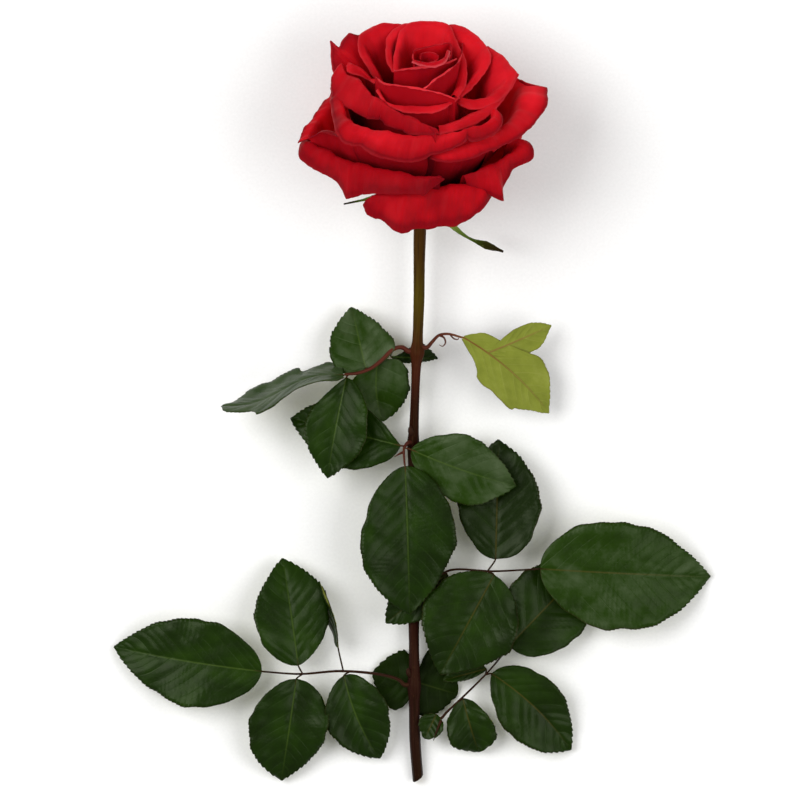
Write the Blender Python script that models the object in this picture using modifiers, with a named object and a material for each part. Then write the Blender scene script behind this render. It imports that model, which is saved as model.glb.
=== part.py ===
"""A cut red rose, lying on its back on a level surface.

Metres, +Z up. The stem runs along +Y from its cut end to the flower, and the flower nods up from the
surface. The origin is under the middle of the whole rose, on the surface. Sizes below are in millimetres.
"""
import math
from dataclasses import dataclass

import bmesh
import bpy
import numpy as np
from mathutils import Vector

MM = 0.001
GAP = 0.3                       # clearance between neighbouring sub-parts

# ---- the flower's own frame: its base, and how far its axis rises from the surface
FLOWER_BASE = np.array([3.4, 90.5, 24.0])
FLOWER_TILT = math.radians(35.0)
FLOOR_CLEARANCE = 0.35          # lowest level of a petal's middle surface
PRESSED_BELOW = 0.5             # what lies lower than this is pressed flat on the surface
PETAL_THICK = 0.7
CLAW_RADIUS = 3.0               # where the petals leave the flower's core
HIP_LENGTH = 9.0

# ---- stem: centre line from the cut end to under the hip, and its radius there
STEM_LINE = (
    (2.6, -159.0, 1.93, 2.2), (1.3, -141.0, 4.6, 2.3), (1.0, -125.0, 6.7, 2.3), (1.0, -118.7, 7.5, 2.9),
    (1.0, -112.0, 8.0, 2.3), (0.8, -92.0, 9.4, 2.3), (0.8, -88.0, 9.6, 2.6), (0.8, -83.0, 9.9, 2.3),
    (0.4, -24.0, 12.4, 2.2), (0.5, -17.0, 12.7, 2.6), (0.8, -10.0, 13.0, 2.2), (1.8, 14.0, 13.7, 2.3),
    (2.1, 21.6, 13.8, 3.0), (2.4, 29.0, 13.8, 2.3), (2.9, 43.5, 13.7, 2.2), (3.0, 60.0, 13.5, 2.2),
    (3.2, 71.0, 14.2, 2.2),
)
NECK_STRAIGHT = 4.0              # the stem's last stretch, in line with the flower
NECK_RADIUS = 2.3
STEM_RINGS = 36
CUT_SLANT = (-0.55, 0.8, 0.35)   # normal of the cut face, pointing into the stem
CUT_INSET = 1.5                  # how far up the stem the cut crosses its centre line

LEAF_THICK = 0.7
MIDRIB_RADII = (0.5, 0.42)
RACHIS_RADII = (0.95, 0.6)      # at the stem and at the last leaflet
STIPULE_TIP = 0.3
TOOTH_DEPTH = 0.6
TOOTH_SLANT = 0.28              # how far a tooth points forward, as a share of the distance between teeth
TEETH_PER_LENGTH = 0.15         # saw teeth for each millimetre of blade
FEWEST_TEETH = 4
LEAST_HALF_WIDTH = 0.35
TIP_POWER = 1.75                # 1 makes the tip of a blade a straight wedge, 2 a round one
WIDE_BLADE = 32.0               # wider blades have two more columns
MARGIN_WAVES = 1.6
WAVE_START = 0.1


@dataclass(frozen=True)
class Leaflet:
    """One blade: where its base and tip lie, its width, and how it is turned and bent."""

    base: tuple
    tip: tuple
    width: float
    roll: float = 0.0           # degrees about its own length
    arch: float = 0.06          # rise of the middle, as a share of the length
    fold: float = 0.12          # rise of the margins on each side of the midrib
    bend: float = 0.0           # sideways bow of the midrib, as a share of the length
    wave: float = 0.8           # ripple of the margin
    broad: float = 0.46         # where the blade is widest, as a share of the length


@dataclass(frozen=True)
class Leaf:
    """A compound leaf: the rachis with its radius at each end, and its leaflets."""

    name: str
    rachis: tuple
    leaflets: tuple
    colour: tuple
    stipules: tuple = ()


DARK_GREEN = (0.022, 0.060, 0.014)
PALE_GREEN = (0.250, 0.330, 0.075)
DEEP_RED = (0.480, 0.004, 0.008)
STEM_BROWN = (0.075, 0.045, 0.018)
HIP_GREEN = (0.110, 0.190, 0.045)

LEAVES = (
    Leaf(
        "leaf_upper_left",
        ((-1.5, 22.0, 14.6), (-4.2, 23.6, 15.8), (-7.6, 22.9, 17.2), (-13.4, 17.6, 18.6), (-17.6, 14.6, 19.4),
         (-22.7, 12.8, 20.4), (-28.1, 12.2, 21.6)),
        (
            Leaflet((-28.8, 12.2, 21.8), (-80.2, -1.0, 19.0), 31.0, roll=-68.0, arch=0.05, bend=-0.05, wave=1.8,
                    broad=0.5),
            Leaflet((-19.4, 15.0, 18.4), (-25.2, 40.5, 6.0), 27.5, roll=6.0, fold=0.08, broad=0.38),
            Leaflet((-27.6, 10.8, 20.6), (-35.5, -31.3, 18.0), 26.5, roll=-10.0, fold=0.16, broad=0.52),
            Leaflet((-15.6, 15.4, 16.8), (-12.2, -7.6, 5.5), 24.0, roll=4.0, arch=0.03, bend=0.06, fold=0.05,
                    broad=0.44),
            Leaflet((-8.6, 19.6, 12.0), (10.9, 18.9, 3.4), 10.0, roll=-16.0, arch=0.0, wave=0.3),
        ),
        DARK_GREEN,
    ),
    Leaf(
        "leaf_upper_right",
        ((6.3, 23.6, 14.8), (8.4, 25.8, 16.2), (11.3, 28.6, 17.2), (15.1, 29.2, 18.0), (21.0, 27.7, 18.6)),
        (
            Leaflet((21.4, 27.7, 18.6), (57.4, -4.0, 9.0), 25.5, roll=10.0, arch=0.05, bend=-0.045, fold=0.1,
                    broad=0.5),
            Leaflet((27.0, 21.4, 15.0), (58.4, 32.8, 11.0), 11.5, roll=-12.0, arch=0.03, fold=0.1, broad=0.6),
        ),
        PALE_GREEN,
        stipules=(((13.4, 28.8, 17.8), (13.2, 24.0, 18.6), 1.3), ((17.4, 28.6, 18.4), (18.8, 26.0, 18.8), 0.9)),
    ),
    Leaf(
        "leaf_front",
        ((-1.6, -16.6, 15.6), (-2.6, -17.4, 18.0), (-3.4, -19.0, 20.4), (-3.1, -25.6, 23.4)),
        (
            Leaflet((-5.0, -17.6, 19.2), (-51.0, -6.1, 6.0), 28.0, roll=0.0, arch=0.03, broad=0.46),
            Leaflet((-2.9, -26.3, 23.6), (-1.0, -88.4, 17.4), 38.0, roll=3.0, arch=0.05, fold=0.1, broad=0.46),
            Leaflet((-0.2, -19.4, 20.6), (43.6, -34.6, 18.0), 27.0, roll=-4.0, arch=0.05, bend=0.02, fold=0.08,
                    broad=0.58),
        ),
        DARK_GREEN,
        stipules=(((-3.6, -20.4, 20.0), (-7.4, -22.4, 19.0), 1.3),),
    ),
    Leaf(
        "leaf_right",
        ((4.5, -86.6, 11.2), (6.1, -79.5, 12.6), (10.5, -73.5, 14.0), (16.0, -70.0, 15.0), (34.4, -70.4, 15.6),
         (53.4, -69.4, 16.4)),
        (
            Leaflet((53.8, -69.4, 16.5), (125.6, -72.9, 1.8), 44.0, roll=-3.0, arch=0.07, fold=0.08, broad=0.4),
            Leaflet((35.1, -65.2, 15.0), (36.4, -15.1, 8.5), 33.0, roll=0.0, arch=0.03, fold=0.1, broad=0.52),
            Leaflet((34.4, -72.0, 15.2), (11.8, -113.6, 13.4), 41.0, roll=2.0, arch=0.05, fold=0.06, broad=0.46),
            Leaflet((14.7, -71.6, 14.5), (-11.0, -92.2, 13.3), 19.0, roll=0.0, arch=0.01, fold=0.04, wave=0.3),
        ),
        DARK_GREEN,
    ),
    Leaf(
        "leaf_lower_right",
        ((4.3, -133.5, 6.6), (11.8, -132.6, 7.8), (14.7, -129.6, 8.6), (21.4, -123.3, 9.4), (32.3, -112.4, 10.4),
         (40.7, -102.3, 11.2)),
        (
            Leaflet((40.7, -101.8, 11.2), (77.0, -64.0, 4.6), 38.0, roll=-4.0, arch=0.02, fold=0.05, wave=0.5),
            Leaflet((33.6, -113.6, 10.4), (66.8, -145.8, 2.6), 26.0, roll=2.0, arch=0.06, bend=-0.05, fold=0.08,
                    broad=0.5),
            Leaflet((31.1, -111.5, 9.8), (13.0, -116.4, 6.2), 10.0, roll=0.0, arch=0.0, wave=0.2),
            Leaflet((21.4, -124.2, 8.8), (28.0, -146.6, 3.6), 19.5, roll=-6.0, arch=0.1, fold=0.1, broad=0.5),
            Leaflet((10.2, -130.6, 7.8), (5.4, -140.8, 9.4), 9.5, roll=0.0, arch=0.05, wave=0.2),
        ),
        DARK_GREEN,
        stipules=(((12.2, -133.2, 7.6), (9.0, -141.6, 5.2), 1.3),),
    ),
    Leaf(
        "leaf_lower_left",
        ((-3.2, -118.2, 8.6), (-5.2, -116.3, 9.4), (-11.3, -114.2, 10.6), (-29.8, -112.4, 11.6),
         (-47.0, -113.6, 12.0), (-62.8, -112.6, 12.0)),
        (
            Leaflet((-63.2, -112.5, 12.0), (-125.4, -102.3, 2.2), 36.0, roll=4.0, arch=0.06, bend=-0.01, fold=0.1,
                    broad=0.38),
            Leaflet((-47.8, -109.9, 12.2), (-54.4, -65.0, 7.0), 30.5, roll=-4.0, arch=0.06, fold=0.1, broad=0.5),
            Leaflet((-48.6, -115.8, 12.0), (-55.0, -158.6, 3.4), 31.5, roll=3.0, arch=0.06, fold=0.1, broad=0.46),
            Leaflet((-28.6, -114.4, 11.4), (-13.6, -149.3, 4.4), 26.5, roll=0.0, arch=0.06, bend=0.05, fold=0.1,
                    broad=0.42),
            Leaflet((-29.8, -110.6, 12.4), (-39.5, -74.6, 15.0), 18.0, roll=82.0, arch=0.02, fold=0.08),
        ),
        DARK_GREEN,
    ),
    Leaf(
        "leaf_behind",
        ((1.0, -118.4, 3.4), (1.2, -117.4, 3.2), (1.4, -116.4, 3.0)),
        (
            Leaflet((1.2, -117.0, 3.3), (19.2, -122.4, 1.6), 26.0, roll=0.0, arch=0.0, fold=0.02, wave=0.2,
                    broad=0.42),
            Leaflet((1.0, -119.0, 3.4), (-16.6, -113.2, 1.6), 24.0, roll=0.0, arch=0.0, fold=0.02, wave=0.2,
                    broad=0.42),
        ),
        DARK_GREEN,
    ),
)


@dataclass(frozen=True)
class Rim:
    """A petal's rim at one place: azimuth in degrees round the flower, radius and height of the hem, and how
    far the crest of the rolled lip lies inside and above the hem. A sharp rim is a pointed corner."""

    azimuth: float
    radius: float
    height: float
    lip_out: float
    lip_drop: float
    sharp: bool = False


@dataclass(frozen=True)
class Petal:
    """A petal: its rim from one side to the other, how bulging its lower part is, and its hem's ripple."""

    name: str
    rim: tuple
    belly: float = 0.3
    ripple: float = 0.5


# Outer and middle petals, from the lowest to the heart. Azimuth 90 faces up from the surface, 270 down to it.
PETALS = (
    Petal("front_low", (
        Rim(124, 43.5, 17, 7, 3), Rim(109, 45.3, 10, 11, 12), Rim(92, 45.1, 9, 11.5, 14),
        Rim(71, 44.6, 10, 9.5, 13), Rim(48, 44.5, 17, 3.5, 4)), 0.1, 0.9),
    Petal("left_front", (
        Rim(172, 51.4, 28, 5, 2, True), Rim(159, 49.4, 25, 5, 5), Rim(131, 48.8, 21, 7, 8, True),
        Rim(110, 42.7, 25, 4, 5), Rim(87, 39.4, 25.5, 2.5, 5), Rim(74, 37.7, 29, 1, 2, True)), 0.15, 0.6),
    Petal("right_front", (
        Rim(64, 35.0, 23, 2, 4), Rim(51, 41.4, 20, 4, 8), Rim(45, 48.2, 18, 8.5, 12, True),
        Rim(33, 46.3, 25, 6, 6), Rim(23, 49.7, 29, 7, 4), Rim(16, 45.7, 34, 5, 1)), 0.15, 0.6),
    Petal("left_side", (
        Rim(232, 42.0, 38, 4, 1), Rim(214, 43.0, 37, 4, 1), Rim(198, 42.0, 36, 3, 1),
        Rim(184, 46.5, 32.5, 5, 1), Rim(169, 51.8, 30, 5, 3, True), Rim(160, 41.0, 37, 1.5, 1),
        Rim(140, 33.0, 38, 1, 1)), 0.2, 0.4),
    Petal("right_side", (
        Rim(78, 33.9, 36, 2.5, 2), Rim(53, 38.6, 37, 4, 3), Rim(29, 43.4, 38, 6, 4), Rim(14, 48.5, 40, 7, 4),
        Rim(-8, 52.6, 44, 9, 2, True), Rim(-17, 43.0, 47, 4, 1)), 0.25, 0.5),
    Petal("back_left_low", (
        Rim(196, 44.0, 24, 5, 3), Rim(214, 47.0, 17, 8, 8), Rim(232, 46.5, 11, 10, 13),
        Rim(250, 45.0, 16, 9, 9), Rim(268, 42.0, 21, 5, 4)), 0.1, 0.5),
    Petal("back_right_low", (
        Rim(278, 42.0, 21, 5, 4), Rim(292, 45.5, 16, 9, 9), Rim(311, 46.5, 11, 10, 13),
        Rim(330, 47.0, 18, 8, 8), Rim(348, 43.0, 26, 5, 3), Rim(370, 40.0, 33, 3, 1),
        Rim(392, 36.0, 31, 2, 1)), 0.1, 0.5),
    Petal("back_middle", (
        Rim(236, 37.0, 42, 3, 1), Rim(252, 40.0, 41, 5, 3), Rim(270, 41.0, 41, 6, 4),
        Rim(290, 40.0, 42, 5, 3), Rim(310, 37.0, 44, 3, 1), Rim(334, 36.0, 45, 2, 1)), 0.3, 0.5),
    Petal("front_lip", (
        Rim(166, 37.0, 46, 1.5, 1), Rim(156, 39.5, 45, 3.5, 1, True), Rim(141, 41.5, 43, 5, 4),
        Rim(122, 38.0, 40, 5, 7), Rim(100, 35.1, 37, 4.5, 10), Rim(77, 36.1, 41, 4.5, 7),
        Rim(56, 35.5, 44, 2, 5, True), Rim(28, 37.8, 48, 3, 2, True)), 0.45, 0.7),
    Petal("right_middle", (
        Rim(-37, 33.0, 59, 3.5, -2), Rim(-20, 35.3, 58, 4.5, -2), Rim(-6, 40.1, 55, 5, -1, True),
        Rim(4, 37.9, 52, 4, 0), Rim(20, 33.9, 49, 3.5, 1), Rim(40, 31.9, 47, 3.5, 2),
        Rim(65, 30.3, 47, 2, 2)), 0.5, 0.4),
    Petal("left_back", (
        Rim(194, 37.0, 50, 2.5, 0), Rim(206, 40.5, 55, 3, 0), Rim(213, 44.5, 58, 5, -2, True),
        Rim(216, 40.0, 57, 3, -1), Rim(221, 38.7, 60, 4, -2), Rim(232, 34.3, 61, 3.5, -1),
        Rim(246, 29.0, 60, 3.5, 0)), 0.5, 0.3),
    Petal("second_lip", (
        Rim(186, 35.5, 51, 1.5, 4), Rim(166, 32.6, 47, 3.2, 8), Rim(145, 28.6, 46, 3.9, 8.5),
        Rim(131, 28.6, 47, 3, 7, True), Rim(119, 27.4, 47, 2.9, 7), Rim(96, 29.9, 48, 2.3, 5),
        Rim(78, 31.5, 49, 1.2, 2)), 0.55, 0.5),
    Petal("left_inner", (
        Rim(195, 19.1, 52, 1.6, 0), Rim(204, 24.8, 56, 1.8, 1), Rim(211, 29.5, 61, 1.8, 0),
        Rim(224, 31.2, 64, 2.5, -1), Rim(240, 28.6, 65, 3, -1), Rim(254, 26.2, 65, 3, -1)), 0.7, 0.3),
    Petal("right_back", (
        Rim(300, 27.2, 66, 2.5, -1), Rim(319, 29.4, 65, 3, -1), Rim(333, 30.7, 62, 3, -1),
        Rim(345, 30.1, 59, 3.5, -1), Rim(360, 26.9, 55, 3.5, 0), Rim(380, 22.8, 52, 2.5, 1),
        Rim(399, 19.6, 51, 1, 1)), 0.7, 0.3),
    Petal("bud_back", (
        Rim(191, 11.6, 58, 1.2, 0), Rim(233, 17.2, 64, 1, 0), Rim(254, 22.4, 67, 1.6, -1),
        Rim(275, 22.6, 69, 1.5, -1), Rim(299, 23.6, 68, 1.8, -1), Rim(321, 20.0, 64, 1.2, 0),
        Rim(353, 18.2, 59, 1.2, 0), Rim(377, 18.6, 54, 0.8, 1)), 0.85, 0.2),
    Petal("bud_front", (
        Rim(40, 19.6, 52, 1.8, 0.5), Rim(67, 21.7, 53.5, 1.8, 1), Rim(95, 22.3, 54, 2.0, 1),
        Rim(125, 21.8, 54, 2.0, 0.5), Rim(150, 20.5, 54, 1.2, 0)), 0.85, 0.2),
    Petal("bud_left", (
        Rim(48, 17.4, 54, 0.5, 0), Rim(71, 14.2, 58, 0.5, 0), Rim(100, 13.2, 58.5, 0.5, 0),
        Rim(131, 13.4, 58, 0.5, 0), Rim(166, 16.6, 57, 0.5, 0)), 0.9, 0.1),
)

# The heart: petals wound round each other, each a golden angle on from the last
HEART_PETALS = 5
HEART_RADIUS = 3.0
HEART_STEP = 1.8
HEART_HEIGHT = 64.0
HEART_SPAN = 230.0
HEART_SPIRAL = 2.2
GOLDEN_ANGLE = 137.5

HEART_CROWN = 2.0               # how much higher the middle of a heart petal stands
HEART_SINK = 0.5                # each heart petal stands this much lower than the one inside it
HEART_LIP = 0.6

# A petal between its claw and its rim: shares of the azimuth span, of the crest's radius and of its height
CLAW_SPAN = 0.45
CLAW_HEIGHT = 1.5
LOW_SPAN = 0.8
LOW_RADIUS = 0.45
LOW_BELLY = 0.30
LOW_HEIGHT = 0.16
LOW_LIFT = 0.10
WAIST_RADIUS = 0.84
WAIST_BELLY = 0.15
WAIST_HEIGHT = 0.62
RIPPLE_PITCH = 21.0             # degrees of azimuth for each wave of the hem

# Petal grids: vertices across and along
PETAL_ACROSS = 8
PETAL_ALONG = 7
HEART_ACROSS = 8
HEART_ALONG = 4

# Core of the flower that the petals' claws stand in: height and radius
CORE_PROFILE = ((0.0, 0.0), (0.0, 4.6), (6.0, 9.0), (22.0, 12.5), (40.0, 11.0), (52.0, 6.0), (56.0, 0.0))
CORE_SIDES = 20

# Hip under the flower, from the stem up: height below the flower's base and radius
HIP_PROFILE = (
    (-HIP_LENGTH, 0.0), (-HIP_LENGTH, 2.5), (-7.5, 3.6), (-4.5, 4.9), (-1.5, 4.6), (-GAP, 4.0), (-GAP, 0.0),
)
HIP_SIDES = 12

# Sepals: azimuth, then radius and height of three points along each
SEPALS = (
    (165.0, (12.0, -1.6), (22.0, -2.6), (31.0, -6.0)),
    (14.0, (10.0, -12.5), (20.0, -21.5), (36.0, -26.5)),
    (88.0, (8.0, -3.0), (13.0, -5.0), (18.0, -8.0)),
    (235.0, (9.0, -4.0), (14.0, -8.0), (19.0, -13.0)),
    (308.0, (9.0, -4.0), (14.0, -8.0), (20.0, -12.0)),
)
SEPAL_ROOT = (3.0, -2.4)        # radius and height where each sepal leaves the hip
SEPAL_WIDTH = 6.5
SEPAL_BASE_SHARE = 0.25         # half-width at the root, as a share of the widest
SEPAL_WIDEST = 0.2              # where the sepal is widest, as a share of its length
SEPAL_TAPER = 0.6
SEPAL_CUP = 0.25
SEPAL_THICK = 0.8
SEPAL_RINGS = 7


# ------------------------------------------------------------------ helpers
def new_collection(name):
    """A collection linked to the scene."""
    group = bpy.data.collections.new(name)
    bpy.context.scene.collection.children.link(group)
    return group


def make_material(name, colour, roughness):
    """A plain Principled material."""
    finish = bpy.data.materials.new(name)
    finish.use_nodes = True
    shader = finish.node_tree.nodes["Principled BSDF"]
    shader.inputs["Base Color"].default_value = (*colour, 1.0)
    shader.inputs["Roughness"].default_value = roughness
    shader.inputs["Metallic"].default_value = 0.0
    return finish


def catmull_rom(knots, places, sharp=None):
    """Points of a smooth curve through the knots, at places from 0 to 1. A sharp knot is a corner."""
    knots = np.asarray(knots, dtype=float)
    slopes = np.gradient(knots, axis=0)
    if sharp is not None:
        slopes[np.asarray(sharp)] = 0.0
    where = np.asarray(places) * (len(knots) - 1)
    left = np.minimum(where.astype(int), len(knots) - 2)
    t = (where - left)[:, None]
    return (
        (2 * t**3 - 3 * t**2 + 1) * knots[left]
        + (t**3 - 2 * t**2 + t) * slopes[left]
        + (3 * t**2 - 2 * t**3) * knots[left + 1]
        + (t**3 - t**2) * slopes[left + 1]
    )


def flower_point(azimuth, radius, height):
    """World points, in millimetres, from azimuth in degrees, radius and height in the flower's frame."""
    angle = np.radians(azimuth)
    side = radius * np.cos(angle)
    front = radius * np.sin(angle)
    along = -front * math.sin(FLOWER_TILT) + height * math.cos(FLOWER_TILT)
    up = front * math.cos(FLOWER_TILT) + height * math.sin(FLOWER_TILT)
    return FLOWER_BASE + np.stack([side, along, up], axis=-1)


def mesh_object(name, mesh, group):
    """An object of the mesh, linked to the collection."""
    piece = bpy.data.objects.new(name, mesh)
    group.objects.link(piece)
    return piece


def evaluated_copy(piece, name, group):
    """A plain mesh object with the piece's modifiers applied; the piece itself is removed."""
    bpy.context.view_layer.update()
    ready = piece.evaluated_get(bpy.context.evaluated_depsgraph_get())
    mesh = bpy.data.meshes.new_from_object(ready)
    place = piece.matrix_world.copy()
    bpy.data.objects.remove(piece, do_unlink=True)
    solid = mesh_object(name, mesh, group)
    solid.matrix_world = place
    return solid


def tube(name, line, radii, group, resolution=2):
    """A closed tube along the line, with a radius at each point."""
    curve = bpy.data.curves.new(name, "CURVE")
    curve.dimensions = "3D"
    curve.bevel_depth = MM
    curve.bevel_resolution = resolution
    curve.use_fill_caps = True
    spline = curve.splines.new("POLY")
    spline.points.add(len(line) - 1)
    for knot, place, radius in zip(spline.points, line, radii):
        knot.co = (*(np.asarray(place) * MM), 1.0)
        knot.radius = radius
    wire = mesh_object(name, curve, group)
    solid = evaluated_copy(wire, name, group)
    weld(solid.data)
    return solid


def weld(mesh):
    """Join the caps to the wall, and point all faces out."""
    shape = bmesh.new()
    shape.from_mesh(mesh)
    bmesh.ops.remove_doubles(shape, verts=shape.verts, dist=0.01 * MM)
    bmesh.ops.recalc_face_normals(shape, faces=shape.faces)
    shape.to_mesh(mesh)
    shape.free()


def blade(name, grid, thickness, group):
    """A thin solid on a grid of points (rows, columns, xyz), split into triangles alike on both faces."""
    rows, columns = grid.shape[:2]
    shape = bmesh.new()
    bmesh.ops.create_grid(shape, x_segments=columns - 1, y_segments=rows - 1, size=1.0)
    shape.verts.ensure_lookup_table()
    for vert in shape.verts:
        column = round((vert.co.x + 1.0) / 2.0 * (columns - 1))
        row = round((vert.co.y + 1.0) / 2.0 * (rows - 1))
        vert.co = Vector(grid[row, column]) * MM
    bmesh.ops.triangulate(shape, faces=shape.faces, quad_method="SHORT_EDGE")
    mesh = bpy.data.meshes.new(name)
    shape.to_mesh(mesh)
    shape.free()
    sheet = mesh_object(name, mesh, group)
    shell = sheet.modifiers.new("thickness", "SOLIDIFY")
    shell.thickness = thickness * MM
    shell.offset = 0.0
    return evaluated_copy(sheet, name, group)


def turned(name, profile, sides, group):
    """A closed solid turned from (height, radius) points about the flower's axis."""
    shape = bmesh.new()
    before = None
    for height, radius in profile:
        knot = shape.verts.new((radius * MM, 0.0, height * MM))
        if before is not None:
            shape.edges.new((before, knot))
        before = knot
    mesh = bpy.data.meshes.new(name)
    shape.to_mesh(mesh)
    shape.free()
    half = mesh_object(name, mesh, group)
    screw = half.modifiers.new("turn", "SCREW")
    screw.axis = "Z"
    screw.steps = sides
    screw.render_steps = sides
    screw.use_merge_vertices = True
    screw.merge_threshold = 0.00001
    half.location = Vector(FLOWER_BASE) * MM
    half.rotation_euler = (FLOWER_TILT - math.pi / 2, 0.0, 0.0)
    solid = evaluated_copy(half, name, group)
    solid.data.transform(solid.matrix_world)
    solid.matrix_world.identity()
    weld(solid.data)
    return solid


def fuse(name, trunk, group, parts, finish):
    """Unite the trunk with everything in the collection, and keep the one outer body."""
    union = trunk.modifiers.new("union", "BOOLEAN")
    union.operation = "UNION"
    union.solver = "MANIFOLD"
    union.operand_type = "COLLECTION"
    union.collection = parts
    body = evaluated_copy(trunk, name, group)
    for piece in list(parts.objects):
        bpy.data.objects.remove(piece, do_unlink=True)
    bpy.data.collections.remove(parts)
    keep_outer_body(body.data)
    body.data.materials.clear()
    body.data.materials.append(finish)
    body.data.shade_smooth()
    body.data.set_sharp_from_angle(angle=math.radians(50.0))
    return body


def keep_outer_body(mesh):
    """Drop sealed hollows and loose scraps: the body of largest volume stays."""
    shape = bmesh.new()
    shape.from_mesh(mesh)
    bmesh.ops.triangulate(shape, faces=shape.faces)
    islands = []
    unseen = set(shape.faces)
    while unseen:
        island = []
        front = [unseen.pop()]
        while front:
            face = front.pop()
            island.append(face)
            for edge in face.edges:
                for other in edge.link_faces:
                    if other in unseen:
                        unseen.discard(other)
                        front.append(other)
        islands.append(island)
    islands.sort(key=signed_volume)
    for island in islands[:-1]:
        bmesh.ops.delete(shape, geom=island, context="FACES")
    loose = [vert for vert in shape.verts if not vert.link_faces]
    bmesh.ops.delete(shape, geom=loose, context="VERTS")
    shape.to_mesh(mesh)
    shape.free()


def signed_volume(faces):
    """Volume inside the triangles; below zero for a hollow."""
    total = 0.0
    for face in faces:
        a, b, c = (vert.co for vert in face.verts)
        total += a.dot(b.cross(c)) / 6.0
    return total


# ------------------------------------------------------------------ stem
def build_stem(group):
    """The woody stem, with a slanted cut at its foot."""
    knots = list(STEM_LINE)
    for below in (NECK_STRAIGHT, 0.0):
        knots.append((*flower_point(0.0, 0.0, -HIP_LENGTH - 2.0 * GAP - below), NECK_RADIUS))
    line = catmull_rom(knots, np.linspace(0.0, 1.0, STEM_RINGS))
    stem = tube("stem", line[:, :3], line[:, 3], group)
    shape = bmesh.new()
    shape.from_mesh(stem.data)
    foot = Vector(STEM_LINE[0][:3])
    cut = bmesh.ops.bisect_plane(
        shape,
        geom=shape.verts[:] + shape.edges[:] + shape.faces[:],
        plane_co=(foot + Vector((0.0, CUT_INSET, 0.0))) * MM,
        plane_no=Vector(CUT_SLANT),
        clear_inner=True,
    )
    rim = [item for item in cut["geom_cut"] if isinstance(item, bmesh.types.BMEdge)]
    bmesh.ops.contextual_create(shape, geom=rim)
    bmesh.ops.recalc_face_normals(shape, faces=shape.faces)
    shape.to_mesh(stem.data)
    shape.free()
    stem.data.materials.append(make_material("stem_bark", STEM_BROWN, 0.45))
    stem.data.shade_smooth()
    return stem


# ------------------------------------------------------------------ hip and sepals
def build_calyx(group):
    """The hip with its five sepals."""
    parts = new_collection("calyx_parts")
    hip = turned("hip", HIP_PROFILE, HIP_SIDES, group)
    for number, (azimuth, *places) in enumerate(SEPALS):
        blade(f"sepal_{number}", sepal_grid(azimuth, places), SEPAL_THICK, parts)
    return fuse("calyx", hip, group, parts, make_material("hip_skin", HIP_GREEN, 0.5))


def sepal_grid(azimuth, places):
    """Grid of a sepal's middle surface through its places, cupped towards the flower."""
    steps = np.linspace(0.0, 1.0, SEPAL_RINGS)
    line = catmull_rom((SEPAL_ROOT, *places), steps)
    across = flower_point(azimuth + 90.0, 1.0, 0.0) - FLOWER_BASE
    lift = flower_point(azimuth, 0.0, 1.0) - FLOWER_BASE
    grid = np.zeros((SEPAL_RINGS, 3, 3))
    for row, step in enumerate(steps):
        radius, height = line[row]
        centre = flower_point(azimuth, radius, height)
        half = 0.5 * SEPAL_WIDTH * sepal_width(step)
        for column, side in enumerate((-1.0, 0.0, 1.0)):
            grid[row, column] = centre + across * side * half + lift * abs(side) * half * SEPAL_CUP
    return grid


def sepal_width(step):
    """Width of a sepal as a share of its greatest: a narrow root, then a long taper."""
    swell = math.sin(math.pi * min(1.0, step + 0.5 - SEPAL_WIDEST))
    body = SEPAL_BASE_SHARE + (1.0 - SEPAL_BASE_SHARE) * swell
    return body * (1.0 - SEPAL_TAPER * step)


# ------------------------------------------------------------------ flower
def petal_grid(petal, across, along):
    """Grid of a petal's middle surface."""
    places = np.linspace(0.0, 1.0, across)
    sharp = [rim.sharp for rim in petal.rim]
    hem = catmull_rom([(r.azimuth, r.radius, r.height) for r in petal.rim], places, sharp)
    lip = catmull_rom([(r.lip_out, r.lip_drop) for r in petal.rim], places)
    middle = 0.5 * (petal.rim[0].azimuth + petal.rim[-1].azimuth)
    grid = np.zeros((along, across, 3))
    steps = np.linspace(0.0, 1.0, along)
    for column in range(across):
        azimuth, radius, height = hem[column]
        crest_radius = radius - lip[column, 0]
        crest_height = height + lip[column, 1]
        claw_azimuth = middle + (azimuth - middle) * CLAW_SPAN
        low_azimuth = middle + (azimuth - middle) * LOW_SPAN
        low_radius = crest_radius * (LOW_RADIUS + LOW_BELLY * petal.belly)
        low_height = crest_height * (LOW_HEIGHT + LOW_LIFT * petal.belly) + CLAW_HEIGHT
        waist_radius = crest_radius * (WAIST_RADIUS + WAIST_BELLY * petal.belly)
        profile = (
            (claw_azimuth, CLAW_RADIUS, CLAW_HEIGHT),
            (low_azimuth, low_radius, low_height),
            (azimuth, waist_radius, crest_height * WAIST_HEIGHT),
            (azimuth, crest_radius, crest_height),
            (azimuth, radius, height),
        )
        line = catmull_rom(profile, steps)
        wave = petal.ripple * math.sin(2.0 * math.pi * azimuth / RIPPLE_PITCH)
        line[:, 2] += wave * steps**4
        grid[:, column] = flower_point(line[:, 0], line[:, 1], line[:, 2])
    grid[..., 2] = np.maximum(grid[..., 2], FLOOR_CLEARANCE)
    return grid


def heart_petal(number):
    """One wound petal of the heart."""
    start = GOLDEN_ANGLE * number
    rims = []
    for share in (0.0, 0.25, 0.5, 0.75, 1.0):
        rims.append(Rim(
            start + HEART_SPAN * share,
            HEART_RADIUS + HEART_STEP * number + HEART_SPIRAL * share,
            HEART_HEIGHT - HEART_SINK * number + HEART_CROWN * math.sin(math.pi * share),
            HEART_LIP,
            -HEART_LIP,
        ))
    return Petal(f"heart_{number}", tuple(rims), belly=1.0, ripple=0.1)


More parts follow.
